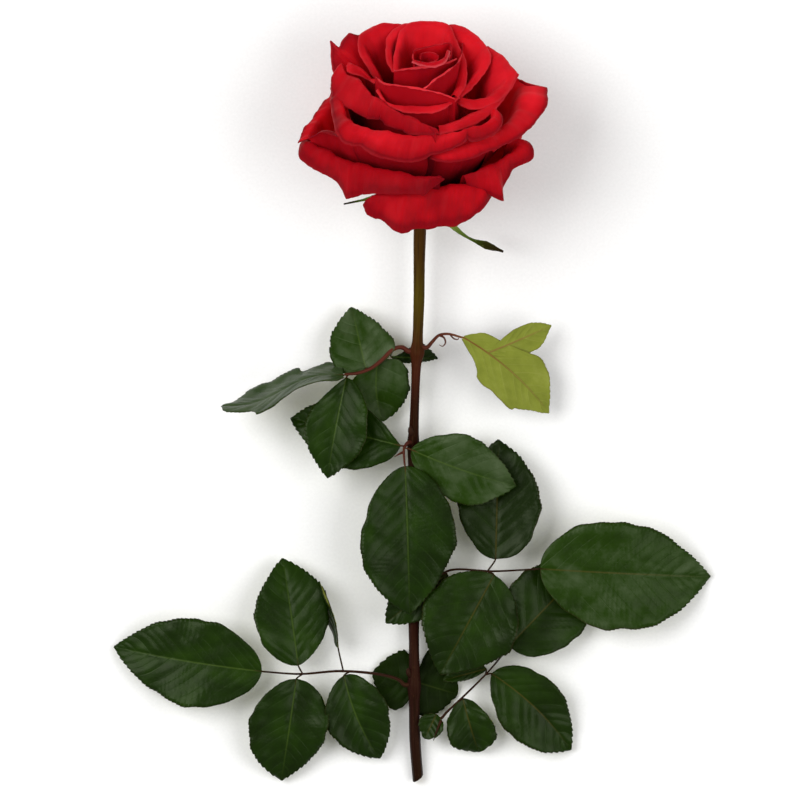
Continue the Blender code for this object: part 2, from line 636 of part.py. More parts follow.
def build_bloom(group):
    """All the petals, standing in the flower's core."""
    parts = new_collection("bloom_parts")
    for petal in PETALS:
        blade(petal.name, petal_grid(petal, PETAL_ACROSS, PETAL_ALONG), PETAL_THICK, parts)
    for number in range(HEART_PETALS):
        petal = heart_petal(number)
        blade(petal.name, petal_grid(petal, HEART_ACROSS, HEART_ALONG), PETAL_THICK, parts)
    core = turned("core", CORE_PROFILE, CORE_SIDES, group)
    bloom = fuse("bloom", core, group, parts, make_material("petal_velvet", DEEP_RED, 0.6))
    press_flat(bloom.data)
    return bloom


def press_flat(mesh):
    """Small flat spots where the flower's lowest petals rest."""
    for vert in mesh.vertices:
        if vert.co.z < PRESSED_BELOW * MM:
            vert.co.z = 0.0


# ------------------------------------------------------------------ leaves
def blade_frame(leaflet):
    """Length, and unit vectors along, across and out of the blade's upper face."""
    base = np.array(leaflet.base)
    reach = np.array(leaflet.tip) - base
    length = float(np.linalg.norm(reach))
    along = reach / length
    across = np.cross(along, (0.0, 0.0, 1.0))
    across = across / np.linalg.norm(across)
    out = np.cross(across, along)
    turn = math.radians(leaflet.roll)
    side = across * math.cos(turn) + out * math.sin(turn)
    return base, length, along, side, np.cross(side, along)


def outline(share, broad):
    """Half-width of a rose leaflet, as a share of its greatest: a round base and a pointed tip."""
    if share < broad:
        return math.sqrt(1.0 - (1.0 - share / broad) ** 2)
    return 1.0 - ((share - broad) / (1.0 - broad)) ** TIP_POWER


def leaflet_grid(leaflet):
    """Grid of a leaflet's middle surface, with saw teeth on its margins."""
    base, length, along, side, out = blade_frame(leaflet)
    teeth = max(FEWEST_TEETH, round(length * TEETH_PER_LENGTH))
    rows = 2 * teeth + 1
    columns = (-1.0, -0.5, 0.0, 0.5, 1.0) if leaflet.width > WIDE_BLADE else (-1.0, 0.0, 1.0)
    flatness = math.sqrt(1.0 - leaflet.fold**2)
    grid = np.zeros((rows, len(columns), 3))
    for row in range(rows):
        share = row / (rows - 1)
        half = max(0.5 * leaflet.width * outline(share, leaflet.broad), LEAST_HALF_WIDTH)
        hump = 4.0 * share * (1.0 - share)
        ripple = leaflet.wave * math.sin(2.0 * math.pi * (MARGIN_WAVES * share + WAVE_START))
        for column, place in enumerate(columns):
            reach = share
            wide = place * half
            if row % 2 == 1 and abs(place) == 1.0:
                reach += TOOTH_SLANT / teeth
                wide += math.copysign(TOOTH_DEPTH, place)
            rise = leaflet.arch * length * hump + leaflet.fold * abs(wide) + ripple * place * abs(place)
            across = wide * flatness + leaflet.bend * length * hump
            grid[row, column] = base + along * reach * length + side * across + out * rise
    return grid


def build_leaf(leaf, group):
    """A compound leaf: rachis, petiolules with the root of each midrib, blades and stipules."""
    parts = new_collection(leaf.name + "_parts")
    line = catmull_rom(leaf.rachis, np.linspace(0.0, 1.0, 2 * len(leaf.rachis)))
    radii = np.linspace(*RACHIS_RADII, len(line))
    rachis = tube(leaf.name + "_rachis", line, radii, group, resolution=1)
    for number, leaflet in enumerate(leaf.leaflets):
        grid = leaflet_grid(leaflet)
        middle = grid[:, grid.shape[1] // 2]
        nearest = int(np.argmin(np.linalg.norm(line - middle[0], axis=1)))
        reach = max(3, len(middle) // 4)
        vein = [line[max(nearest - 1, 0)], middle[0], *middle[1:reach]]
        sizes = np.linspace(*MIDRIB_RADII, len(vein))
        tube(f"{leaf.name}_vein_{number}", vein, sizes, parts, resolution=1)
        blade(f"{leaf.name}_blade_{number}", grid, LEAF_THICK, parts)
    for number, (root, tip, width) in enumerate(leaf.stipules):
        halfway = (np.array(root) + np.array(tip)) / 2.0
        sizes = (width * 0.5, width * 0.55, STIPULE_TIP)
        tube(f"{leaf.name}_stipule_{number}", (root, halfway, tip), sizes, parts, resolution=1)
    finish = make_material(leaf.name + "_skin", leaf.colour, 0.42)
    return fuse(leaf.name, rachis, group, parts, finish)


def main():
    """Build the whole rose."""
    for item in list(bpy.data.objects):
        bpy.data.objects.remove(item, do_unlink=True)
    rose = new_collection("cut_rose")
    build_stem(rose)
    build_calyx(rose)
    build_bloom(rose)
    for leaf in LEAVES:
        build_leaf(leaf, rose)


main()
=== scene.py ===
"""Looks of a cut red rose that lies on its back: petals, hip, leaves and stem, in a pale studio.

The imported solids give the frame. Each sub-assembly below builds finer pieces of the same form and dresses
them. Sizes are in millimetres unless a name says otherwise, and become metres when a mesh is made.
"""
import logging
import math
from dataclasses import dataclass, field
from enum import Enum

import bmesh
import bpy
import numpy as np
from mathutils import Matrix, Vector


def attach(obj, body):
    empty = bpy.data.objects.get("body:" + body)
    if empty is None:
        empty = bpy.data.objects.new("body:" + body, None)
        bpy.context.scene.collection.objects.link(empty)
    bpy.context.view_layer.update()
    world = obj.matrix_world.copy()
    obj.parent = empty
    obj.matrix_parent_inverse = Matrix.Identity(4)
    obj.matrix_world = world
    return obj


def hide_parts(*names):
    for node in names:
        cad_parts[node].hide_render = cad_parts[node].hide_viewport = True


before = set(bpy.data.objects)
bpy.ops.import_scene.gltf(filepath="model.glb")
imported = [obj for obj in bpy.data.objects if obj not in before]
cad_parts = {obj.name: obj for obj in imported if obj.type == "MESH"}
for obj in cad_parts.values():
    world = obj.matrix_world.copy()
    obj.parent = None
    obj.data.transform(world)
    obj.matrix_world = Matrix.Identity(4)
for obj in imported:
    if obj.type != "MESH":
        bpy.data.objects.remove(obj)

LOG = logging.getLogger("cut_rose")
MM = 0.001
ROOT_BODY = "root"
LAST_PHASE = 6.3                # random phases lie between 0 and this
NO_STEP = 1e-6                  # both keep a division from zero
NO_LENGTH = 1e-9
SMOOTH = {"interpolation_type": "SMOOTHSTEP"}           # a MapRange's step from 0 to 1 between inputs 1 and 2
OVER = {"data_type": "RGBA", "blend_type": "MIX"}       # a Mix that lays input 7 over 6 by share 0
DARKEN = {"data_type": "RGBA", "blend_type": "MULTIPLY"}
ADD, SUBTRACT, MULTIPLY, MULTIPLY_ADD = (
    {"operation": name} for name in ("ADD", "SUBTRACT", "MULTIPLY", "MULTIPLY_ADD"))

Grid = np.ndarray
Point = tuple[float, float, float]
Sockets = dict[str | int, object]
Stops = tuple[tuple[float, str], ...]       # places from 0 to 1 with their hex colours
Waves = tuple[tuple[float, float], ...]     # each wave's pitch or count, and its size


class Side(Enum):
    """Which face of a blade is up."""

    UPPER = "upper"
    UNDER = "under"


# ------------------------------------------------------------------ shared helpers
def linear(colour: str) -> tuple[float, float, float, float]:
    """Turn an sRGB hex colour to linear light.

    Args:
        colour: "#rrggbb".

    Returns:
        Linear red, green, blue and an alpha of 1.
    """
    parts = [int(colour[place:place + 2], 16) / 255.0 for place in (1, 3, 5)]
    light = [part / 12.92 if part <= 0.04045 else ((part + 0.055) / 1.055) ** 2.4 for part in parts]
    return (*light, 1.0)


def feed(tree: bpy.types.NodeTree, node: bpy.types.Node, inputs: Sockets) -> None:
    """Feed a node's inputs.

    Args:
        tree: the node's tree.
        node: the node.
        inputs: sockets to link, hex colours or constants, by input name or number.
    """
    for name, term in inputs.items():
        if isinstance(term, bpy.types.NodeSocket):
            tree.links.new(term, node.inputs[name])
        else:
            node.inputs[name].default_value = linear(term) if isinstance(term, str) else term


def add_node(tree: bpy.types.NodeTree, kind: str, settings: dict[str, object] | None = None,
             inputs: Sockets | None = None, output: str | int = 0, stops: Stops = ()) -> bpy.types.NodeSocket:
    """Add one shader node.

    Args:
        tree: the material's node tree.
        kind: Blender's node type without "ShaderNode".
        settings: the node's own properties.
        inputs: what feeds it, by input name or number.
        output: the output to use, by name or number.
        stops: a ramp's colours, in order.

    Returns:
        That output's socket.
    """
    node = tree.nodes.new("ShaderNode" + kind)
    for name, value in (settings or {}).items():
        setattr(node, name, value)
    for place, _ in stops[2:]:
        node.color_ramp.elements.new(place)
    for element, (place, colour) in zip(node.color_ramp.elements if stops else (), stops):
        element.position = place
        element.color = linear(colour)
    feed(tree, node, inputs or {})
    return node.outputs[output]


def new_material(name: str) -> tuple[bpy.types.Material, bpy.types.NodeTree, bpy.types.Node]:
    """Start a material.

    Args:
        name: of the real material and its surface.

    Returns:
        The material, its tree and its shader.
    """
    made = bpy.data.materials.new(name)
    made.use_nodes = True
    return made, made.node_tree, made.node_tree.nodes["Principled BSDF"]


def smooth_line(knots: Grid, places: Grid, sharp: Grid | None = None) -> Grid:
    """Follow a smooth curve through knots along the first axis, with no overshoot where they are uneven.

    Args:
        knots: points, shaped (knots, ..., values).
        places: where to read the curve, counted in knots from 0.
        sharp: True where a knot is a pointed corner.

    Returns:
        The points, shaped (places, ..., values).
    """
    steps = np.sqrt(np.linalg.norm(np.diff(knots, axis=0), axis=-1, keepdims=True)) + NO_STEP
    pace = np.diff(knots, axis=0) / steps
    slopes = np.concatenate([pace[:1], (pace[1:] * steps[:-1] + pace[:-1] * steps[1:]) / (
        steps[1:] + steps[:-1]), pace[-1:]])
    if sharp is not None:
        slopes[sharp] = 0.0
    left = np.minimum(places.astype(int), len(knots) - 2)
    t = (places - left).reshape((-1,) + (1,) * (knots.ndim - 1))
    span = steps[left]
    return ((2 * t**3 - 3 * t**2 + 1) * knots[left] + (t**3 - 2 * t**2 + t) * slopes[left] * span
            + (3 * t**2 - 2 * t**3) * knots[left + 1] + (t**3 - t**2) * slopes[left + 1] * span)


def even_line(knots: object, count: int) -> Grid:
    """Read the smooth curve through knots at so many places, from end to end."""
    points = np.array(knots)
    return smooth_line(points, np.linspace(0.0, len(points) - 1.0, count))


def full_turn(sides: int, whole: float = 2.0 * math.pi) -> Grid:
    """Angles of a ring's points as one row, in radians unless the whole turn is given as 360."""
    return np.linspace(0.0, whole, sides, endpoint=False)[None]


def path_length(path: Grid) -> float:
    """Length of a path of points."""
    return np.linalg.norm(np.diff(path, axis=0), axis=1).sum()


def grid_normals(grid: Grid) -> Grid:
    """Unit normals of a grid of points (rows, columns, xyz)."""
    normal = np.cross(np.gradient(grid, axis=1), np.gradient(grid, axis=0))
    return normal / (np.linalg.norm(normal, axis=-1, keepdims=True) + NO_LENGTH)


class Draft:
    """A mesh in the making: points, faces and the values that its material reads at each point."""

    def __init__(self, name: str) -> None:
        """Start an empty draft of the named piece."""
        self.name = name
        self.points: list[Grid] = []
        self.faces: list[Grid] = []
        self.values: dict[str, list[Grid]] = {}
        self.count = 0

    def add_grid(self, grid: Grid, values: dict[str, Grid | float], closed: bool = False,
                 flip: bool = False) -> None:
        """Add a sheet, or a tube where the columns close on themselves.

        Args:
            grid: points (rows, columns, xyz).
            values: by attribute name, for each point, row or column, or one for all.
            closed: True joins the last column to the first, and caps both ends.
            flip: True turns the faces over.
        """
        rows, columns = grid.shape[:2]
        number = np.arange(rows * columns).reshape(rows, columns) + self.count
        right = np.roll(number, -1, axis=1) if closed else number[:, 1:]
        here = number if closed else number[:, :-1]
        quads = np.stack([here[:-1], right[:-1], right[1:], here[1:]], axis=-1).reshape(-1, 4)
        self.faces.append(quads[:, ::-1] if flip else quads)
        self.points.append(grid.reshape(-1, 3))
        for name, value in values.items():
            self.values.setdefault(name, []).append(np.broadcast_to(value, (rows, columns)).ravel())
        self.count += rows * columns
        if closed:
            ends = (number[0, ::-1], number[-1])
            self.faces.extend(end[None, ::-1] if flip else end[None] for end in ends)

    def to_object(self, finishes: list[bpy.types.Material], thickness: float = 0.0) -> bpy.types.Object:
        """Make the piece.

        Args:
            finishes: its materials; a sheet's second one dresses the face behind.
            thickness: of a sheet; 0 for what is closed already.

        Returns:
            The new object, linked to the scene.
        """
        mesh = bpy.data.meshes.new(self.name)
        faces = [tuple(face) for group in self.faces for face in group.tolist()]
        mesh.from_pydata((np.concatenate(self.points) * MM).tolist(), [], faces)
        for name, parts in self.values.items():
            layer = mesh.attributes.new(name, "FLOAT", "POINT")
            layer.data.foreach_set("value", np.concatenate(parts).astype(np.float32))
        mesh.shade_smooth()
        piece = bpy.data.objects.new(self.name, mesh)
        bpy.context.scene.collection.objects.link(piece)
        for finish in finishes:
            mesh.materials.append(finish)
        if thickness:
            shell = piece.modifiers.new("thickness", "SOLIDIFY")
            shell.thickness = thickness * MM
            shell.offset = 0.0
            shell.material_offset = len(finishes) - 1
        return piece


def tube_grid(line: Grid, radii: Grid, sides: int) -> Grid:
    """Rings of points round a line.

    Args:
        line: points (rings, xyz).
        radii: a radius for each ring, or for each ring and side.
        sides: points in a ring.

    Returns:
        Points (rings, sides, xyz).
    """
    along = np.gradient(line, axis=0)
    along /= np.linalg.norm(along, axis=1, keepdims=True)
    across = np.cross(along, (0.0, 0.0, 1.0))
    across /= np.linalg.norm(across, axis=1, keepdims=True)
    up = np.cross(across, along)
    turn = full_turn(sides)[..., None]
    reach = np.broadcast_to(np.reshape(radii, (len(line), -1)), (len(line), sides))[..., None]
    return line[:, None] + (across[:, None] * np.cos(turn) + up[:, None] * np.sin(turn)) * reach


def place_piece(piece: bpy.types.Object, slot: str, *nodes: str) -> None:
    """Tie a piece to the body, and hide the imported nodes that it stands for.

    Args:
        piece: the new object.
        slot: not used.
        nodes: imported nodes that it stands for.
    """
    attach(piece, ROOT_BODY)
    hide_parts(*nodes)
    LOG.info("%s: %d points, stands for %s", piece.name, len(piece.data.vertices), ", ".join(nodes))


# ------------------------------------------------------------------ finishes
def blade_place(tree: bpy.types.NodeTree, across_mm: float = 1.0,
                along_mm: float = 1.0) -> bpy.types.NodeSocket:
    """Place a pattern on a petal, blade or stalk, with the piece's seed as its third measure.

    Args:
        tree: the material's node tree.
        across_mm: width that counts as one.
        along_mm: length that counts as one.

    Returns:
        The place's socket.
    """
    parts = {number: add_node(tree, "Attribute", {"attribute_name": name}, output="Fac")
             for number, name in enumerate(("across", "along", "seed"))}
    flat = add_node(tree, "CombineXYZ", None, parts)
    factors = (1.0 / across_mm, 1.0 / along_mm, 1.0)
    return add_node(tree, "VectorMath", MULTIPLY, {0: flat, 1: factors})


@dataclass(frozen=True)
class PetalFinish:
    """Fresh petal: fine upright cells give a velvet sheen, and veins fan out from the claw to the hem."""

    name: str
    shade: str                  # between veins, and painted shade where a petal's tone is low
    body: str                   # most of the face
    bright: str                 # over the veins, and painted light where a petal's tone is high
    painted_shade: str                   # painted shade towards the claw and in cavities
    rim_light: str                    # painted light through the thin rim and on the rolled lips
    sheen_tint: str
    sheen: float = 0.07         # velvet bloom at glancing angles
    roughness: float = 0.5
    hem_share: float = 0.4
    hem_least: float = 0.25     # how much of it shows between cells
    vein_size: tuple[float, float] = (1.17647, 20.0)    # across and along
    vein_contrast: float = 0.08
    cell_size: tuple[float, float] = (0.3125, 0.909091)     # coarser than the real 0.03 mm, so that they show
    cell_height: float = 0.35   # as a share of the veins'
    cloud_size: float = 14.2857
    cloud_contrast: float = 0.6

    def build(self) -> bpy.types.Material:
        """Make the material.

        Returns:
            The new material.
        """
        made, tree, shader = new_material(self.name)
        shift, painted_shade, rim_light_mask = (add_node(tree, "Attribute", {"attribute_name": name}, output="Fac")
                            for name in ("tone", "painted_shade", "rim_light_mask"))
        veins = add_node(tree, "TexNoise", None, {
            "Vector": blade_place(tree, *self.vein_size), "Scale": 1.0, "Detail": 3.0})
        cells = add_node(tree, "TexNoise", None, {
            "Vector": blade_place(tree, *self.cell_size), "Scale": 1.0, "Detail": 2.0, "Roughness": 0.6})
        clouds = add_node(tree, "TexNoise", None, {
            "Vector": add_node(tree, "TexCoord", output="Object"), "Scale": 1.0 / (self.cloud_size * MM)})
        level = 0.5 - 0.5 * self.cloud_contrast
        mottling = add_node(tree, "Math", MULTIPLY_ADD, {0: clouds, 1: self.cloud_contrast, 2: level})
        ribs = add_node(tree, "Math", SUBTRACT, {0: veins, 1: 0.5})
        tone = add_node(tree, "Math", MULTIPLY_ADD, {0: ribs, 1: self.vein_contrast, 2: mottling})
        tone = add_node(tree, "Math", ADD, {0: tone, 1: shift})
        stops = ((0.2, self.shade), (0.5, self.body), (0.8, self.bright))
        colour = add_node(tree, "ValToRGB", None, {0: tone}, stops=stops)
        # painted shade: darker towards the claw and in cavities, where light would not reach
        colour = add_node(tree, "Mix", OVER, {0: painted_shade, 6: colour, 7: self.painted_shade}, 2)
        # painted light: a pale rim where light would come through the thin petal and catch the rolled lip
        grain = add_node(tree, "Math", ADD, {0: cells, 1: self.hem_least})
        rim_light_mask = add_node(tree, "Math", MULTIPLY, {0: rim_light_mask, 1: grain})
        clamped = {"operation": "MULTIPLY", "use_clamp": True}
        rim_light_mask = add_node(tree, "Math", clamped, {0: rim_light_mask, 1: self.hem_share})
        colour = add_node(tree, "Mix", OVER, {0: rim_light_mask, 6: colour, 7: self.rim_light}, 2)
        height = add_node(tree, "Math", MULTIPLY_ADD, {0: cells, 1: self.cell_height, 2: veins})
        feed(tree, shader, {
            "Base Color": colour, "Roughness": self.roughness, "Specular IOR Level": 0.12,
            "Specular Tint": "#ff9c9c", "IOR": 1.42, "Sheen Weight": self.sheen, "Sheen Roughness": 0.38,
            "Sheen Tint": self.sheen_tint, "Subsurface Weight": 0.35, "Subsurface Radius": (1.0, 0.1, 0.08),
            "Subsurface Scale": 1.4 * MM,
            "Normal": add_node(tree, "Bump", None, {
                "Height": height, "Strength": 0.25, "Distance": 0.1 * MM})})
        return made


@dataclass(frozen=True)
class LeafFinish:
    """Leaflet skin: a waxy cuticle, side veins that curve forward and a net of fine veins between them."""

    name: str
    dark: str
    body: str
    light: str
    vein: str                   # side veins
    midrib: str
    edge: str                   # thin margin with its teeth
    relief: float               # 1 where veins stand up, -1 where they are sunk
    painted_gloss: str = "#3e4c30"        # painted gloss: the greyish reflection of the cuticle where tone is high
    roughness: float = 0.3
    gloss: float = 0.15         # of the waxy cuticle
    gloss_tint: str = "#f0ffd8"
    vein_share: float = 0.14    # how much of its own colour each part shows
    midrib_share: float = 0.5
    net_share: float = 0.06
    edge_share: float = 0.6
    cloud_size: tuple[float, float] = (11.1111, 16.6667)    # across and along
    net_pitch: float = 1.0526316
    net_height: float = 0.2     # as a share of the side veins'
    grain_size: float = 0.3846154
    grain_height: float = 0.3

    def build(self) -> bpy.types.Material:
        """Make the material.

        Returns:
            The new material.
        """
        made, tree, shader = new_material(self.name)
        across, share, side, shift, vein = (
            add_node(tree, "Attribute", {"attribute_name": name}, output="Fac")
            for name in ("across", "share", "side", "tone", "vein"))
        place = blade_place(tree)
        clouds = add_node(tree, "TexNoise", None, {
            "Vector": blade_place(tree, *self.cloud_size), "Scale": 1.0, "Detail": 4.0, "Roughness": 0.6})
        grain = add_node(tree, "TexNoise", None, {
            "Vector": place, "Scale": 1.0 / self.grain_size, "Detail": 2.0, "Roughness": 0.6})
        net = add_node(tree, "TexVoronoi", {"feature": "DISTANCE_TO_EDGE"}, {
            "Vector": place, "Scale": 1.0 / self.net_pitch}, "Distance")
        net = add_node(tree, "MapRange", SMOOTH, {0: net, 1: 0.11, 2: 0.0})
        # the side veins' own coordinate is whole on a vein and a half midway between two
        offset = add_node(tree, "Math", {"operation": "PINGPONG"}, {0: vein, 1: 0.5})
        line = add_node(tree, "MapRange", SMOOTH, {0: offset, 1: 0.075, 2: 0.012})
        inner = add_node(tree, "MapRange", SMOOTH, {0: side, 1: 1.0, 2: 0.55})
        line = add_node(tree, "Math", MULTIPLY, {0: line, 1: inner})
        middle = add_node(tree, "Math", {"operation": "ABSOLUTE"}, {0: across})
        rib = add_node(tree, "MapRange", SMOOTH, {0: middle, 1: 0.5, 2: 0.12})
        thinning = add_node(tree, "MapRange", SMOOTH, {0: share, 1: 1.1, 2: 0.35})
        rib = add_node(tree, "Math", MULTIPLY, {0: rib, 1: thinning})
        margin = add_node(tree, "MapRange", SMOOTH, {0: side, 1: 0.965, 2: 1.0})
        tone = add_node(tree, "Math", ADD, {0: clouds, 1: shift})
        # the top stop is painted gloss: a greyish reflection painted on leaflets whose tone is high
        stops = ((0.32, self.dark), (0.52, self.body), (0.74, self.light), (1.0, self.painted_gloss))
        colour = add_node(tree, "ValToRGB", None, {0: tone}, stops=stops)
        for mask, amount, over in (
                (net, self.net_share, self.vein), (line, self.vein_share, self.vein),
                (rib, self.midrib_share, self.midrib), (margin, self.edge_share, self.edge)):
            cover = add_node(tree, "Math", MULTIPLY, {0: mask, 1: amount})
            colour = add_node(tree, "Mix", OVER, {0: cover, 6: colour, 7: over}, 2)
        low = add_node(tree, "Math", MULTIPLY, {0: net, 1: self.net_height})
        lines = add_node(tree, "Math", {"operation": "MAXIMUM"}, {0: low, 1: line})
        rough = add_node(tree, "Math", MULTIPLY, {0: grain, 1: self.grain_height})
        height = add_node(tree, "Math", MULTIPLY_ADD, {0: lines, 1: self.relief, 2: rough})
        feed(tree, shader, {
            "Base Color": colour, "Roughness": self.roughness, "Specular IOR Level": self.gloss,
            "Specular Tint": self.gloss_tint, "IOR": 1.45,
            "Normal": add_node(tree, "Bump", None, {
                "Height": height, "Strength": 0.5, "Distance": 0.16 * MM})})
        return made


@dataclass(frozen=True)
class BarkFinish:
    """Young rose wood and leaf stalks: smooth skin with lengthwise streaks and pale lenticels."""

    name: str
    stops: Stops                # colour by the place along it, 0 at its foot and 1 at its top
    streak: str
    fleck: str
    roughness: float = 0.45
    streak_size: tuple[float, float] = (1.11111, 20.0)      # across and along
    wander: float = 0.05        # how far streaks shift the colours along it
    fleck_stretch: tuple[float, float] = (0.7142857, 1.4285714)
    fleck_pitch: float = 1.8181818
    fleck_share: float = 0.2

    def build(self) -> bpy.types.Material:
        """Make the material.

        Returns:
            The new material.
        """
        made, tree, shader = new_material(self.name)
        place = add_node(tree, "Attribute", {"attribute_name": "run"}, output="Fac")
        streaks = add_node(tree, "TexNoise", None, {
            "Vector": blade_place(tree, *self.streak_size), "Scale": 1.0, "Detail": 4.0, "Roughness": 0.6})
        specks = add_node(tree, "TexVoronoi", {"feature": "F1"}, {
            "Vector": blade_place(tree, *self.fleck_stretch), "Scale": 1.0 / self.fleck_pitch}, "Distance")
        fleck = add_node(tree, "MapRange", SMOOTH, {0: specks, 1: 0.26, 2: 0.1})
        shift = add_node(tree, "Math", SUBTRACT, {0: streaks, 1: 0.5})
        run = add_node(tree, "Math", MULTIPLY_ADD, {0: shift, 1: self.wander, 2: place})
        colour = add_node(tree, "ValToRGB", None, {0: run}, stops=self.stops)
        cover = add_node(tree, "MapRange", SMOOTH, {0: streaks, 1: 0.45, 2: 0.75})
        colour = add_node(tree, "Mix", DARKEN, {0: cover, 6: colour, 7: self.streak}, 2)
        cover = add_node(tree, "Math", MULTIPLY, {0: fleck, 1: self.fleck_share})
        colour = add_node(tree, "Mix", OVER, {0: cover, 6: colour, 7: self.fleck}, 2)
        height = add_node(tree, "Math", MULTIPLY_ADD, {0: fleck, 1: 0.5, 2: streaks})
        feed(tree, shader, {
            "Base Color": colour, "Roughness": self.roughness, "Specular IOR Level": 0.08,
            "Specular Tint": "#ffe0a0", "IOR": 1.48,
            "Normal": add_node(tree, "Bump", None, {
                "Height": height, "Strength": 0.6, "Distance": 0.16 * MM})})
        return made


@dataclass(frozen=True)
class CutWoodFinish:
    """The fresh slanted cut: pale wood rays round a soft pith, darker where it dries at the rim."""

    centre: Point
    name: str = "rose_wood_fresh_cut"
    pith: str = "#e6dcb4"
    wood: str = "#c9b67c"
    rim: str = "#6d5a30"
    radius: float = 3.0         # where the colours end
    pore_size: float = 0.5555556
    fray: float = 0.22          # how far pores shift the rings

    def build(self) -> bpy.types.Material:
        """Make the material.

        Returns:
            The new material.
        """
        made, tree, shader = new_material(self.name)
        where = add_node(tree, "TexCoord", output="Object")
        foot = tuple(value * MM for value in self.centre)
        away = add_node(tree, "VectorMath", {"operation": "DISTANCE"}, {0: where, 1: foot}, "Value")
        pores = add_node(tree, "TexNoise", None, {
            "Vector": where, "Scale": 1.0 / (self.pore_size * MM), "Detail": 3.0})
        shift = add_node(tree, "Math", MULTIPLY, {0: pores, 1: self.fray})
        reach = add_node(tree, "Math", MULTIPLY_ADD, {0: away, 1: 1.0 / (self.radius * MM), 2: shift})
        stops = ((0.28, self.pith), (0.42, self.wood), (0.95, self.rim))
        feed(tree, shader, {
            "Base Color": add_node(tree, "ValToRGB", None, {0: reach}, stops=stops),
            "Roughness": 0.75, "Specular IOR Level": 0.25,
            "Normal": add_node(tree, "Bump", None, {
                "Height": pores, "Strength": 0.6, "Distance": 0.12 * MM})})
        return made


@dataclass(frozen=True)
class PaperFinish:
    """Matt studio paper with a faint tooth, almost white."""

    name: str = "studio_paper_matt"
    light: str = "#f7f7f6"
    shade: str = "#f2f2f1"
    tooth_size: float = 1.1111111

    def build(self) -> bpy.types.Material:
        """Make the material.

        Returns:
            The new material.
        """
        made, tree, shader = new_material(self.name)
        tooth = add_node(tree, "TexNoise", None, {
            "Vector": add_node(tree, "TexCoord", output="Object"), "Scale": 1.0 / (self.tooth_size * MM),
            "Detail": 4.0})
        stops = ((0.3, self.shade), (0.7, self.light))
        feed(tree, shader, {
            "Base Color": add_node(tree, "ValToRGB", None, {0: tooth}, stops=stops), "Roughness": 0.95,
            "Specular IOR Level": 0.1,
            "Normal": add_node(tree, "Bump", None, {
                "Height": tooth, "Strength": 0.2, "Distance": 0.05 * MM})})
        return made


VELVET = PetalFinish(
    "red_petal_velvet_inner", "#76040f", "#a80a16", "#d81a26", "#40020a", "#bc3038", "#ff3038")
PETAL_BACK = PetalFinish(
    "red_petal_matt_outer", "#820414", "#960814", "#a80e1a", "#3a0208", "#a82a34", "#ff5058",
    sheen=0.05, roughness=0.6, hem_share=0.25)
HEART_RED = PetalFinish(
    "red_petal_velvet_heart", "#860614", "#b60c1a", "#de1e2a", "#40020a", "#e06870", "#ff4048",
    hem_share=0.5)

LEAF_TOP = LeafFinish(
    "rose_leaf_waxy_upper", "#0d1b01", "#132601", "#1d3303", "#294310", "#41541e", "#241f0a",
    relief=-1.0)
LEAF_TOP_RED = LeafFinish(
    "rose_leaf_waxy_upper_young", "#0d1b01", "#132501", "#1c3203", "#294110", "#463c12", "#2a1e0a",
    relief=-1.0)
LEAF_UNDER = LeafFinish(
    "rose_leaf_matt_under", "#6a7226", "#78802e", "#888e40", "#969a4c", "#7c5234", "#6a5a2c",
    relief=1.0, painted_gloss="#8e9444", roughness=0.62, gloss=0.1, vein_share=0.22, midrib_share=0.6)
# a darker copy of the upper skin: painted shade for the leaf that lies under the others
LEAF_SHADE = LeafFinish(
    "rose_leaf_waxy_shaded", "#0a1600", "#0f1d00", "#152702", "#22360c", "#303c12", "#1c180a",
    relief=-1.0, roughness=0.5, gloss=0.08)

BARK = BarkFinish(
    "rose_wood_smooth_bark",
    ((0.0, "#1a0a05"), (0.1, "#240f0c"), (0.28, "#2a100c"), (0.5, "#1c0605"), (0.66, "#240905"),
     (0.71, "#3c170e"), (0.75, "#3c1c0c"), (0.79, "#3c2a06"), (0.84, "#433703"), (0.895, "#3c2804"),
     (0.95, "#3c2204"), (1.0, "#3a2006")),
    "#a08878", "#4a3018")
STALK = BarkFinish(
    "rose_leaf_stalk_reddish",
    ((0.0, "#4a231b"), (0.3, "#52261e"), (0.6, "#4a241c"), (0.72, "#3a2c12"), (1.0, "#24380e")),
    "#b09080", "#6a4636", roughness=0.5)
STALK_DARK = BarkFinish(
    "rose_leaf_stalk_brown",
    ((0.0, "#30190f"), (0.3, "#2c1812"), (0.6, "#261611"), (0.72, "#2a2210"), (1.0, "#20300c")),
    "#a89888", "#4a382c", roughness=0.5)
STALK_PALE = BarkFinish(
    "rose_leaf_stalk_pale_rib",
    ((0.0, "#46211a"), (0.45, "#54291f"), (0.6, "#6a4028"), (0.72, "#80602f"), (1.0, "#8c8a40")),
    "#b8a890", "#7a5a3c", roughness=0.5)
HIP = BarkFinish(
    "rose_hip_smooth_green",
    ((0.0, "#7c9040"), (0.45, "#7a9242"), (0.72, "#4e6424"), (0.84, "#30300f"), (1.0, "#241a0c")),
    "#c8d0a8", "#98a868")


# ------------------------------------------------------------------ flower
@dataclass(frozen=True)
class FlowerFrame:
    """The flower's own frame: it stands on its base, tilted up from the surface."""

    base: Point = (3.4, 90.5, 24.0)
    tilt_deg: float = 35.0

    def point(self, azimuth: Grid | float, radius: Grid | float, height: Grid | float) -> Grid:
        """Place points in the flower's own frame.

        Args:
            azimuth: in degrees; 90 faces up from the surface.
            radius: from the flower's axis.
            height: along the axis, from the base.

        Returns:
            Points (..., xyz).
        """
        angle, reach, rise = np.broadcast_arrays(np.radians(azimuth), radius, height)
        tilt = math.radians(self.tilt_deg)
        front = reach * np.sin(angle)
        along = -front * math.sin(tilt) + rise * math.cos(tilt)
        up = front * math.cos(tilt) + rise * math.sin(tilt)
        return np.array(self.base) + np.stack([reach * np.cos(angle), along, up], axis=-1)


FLOWER = FlowerFrame()


@dataclass(frozen=True)
class Rim:
    """One place on a petal's rim: azimuth, radius and height of the hem, then of the rolled lip's crest."""

    azimuth: float
    radius: float
    height: float
    crest_azimuth: float
    crest_radius: float
    crest_height: float
    sharp: bool = False


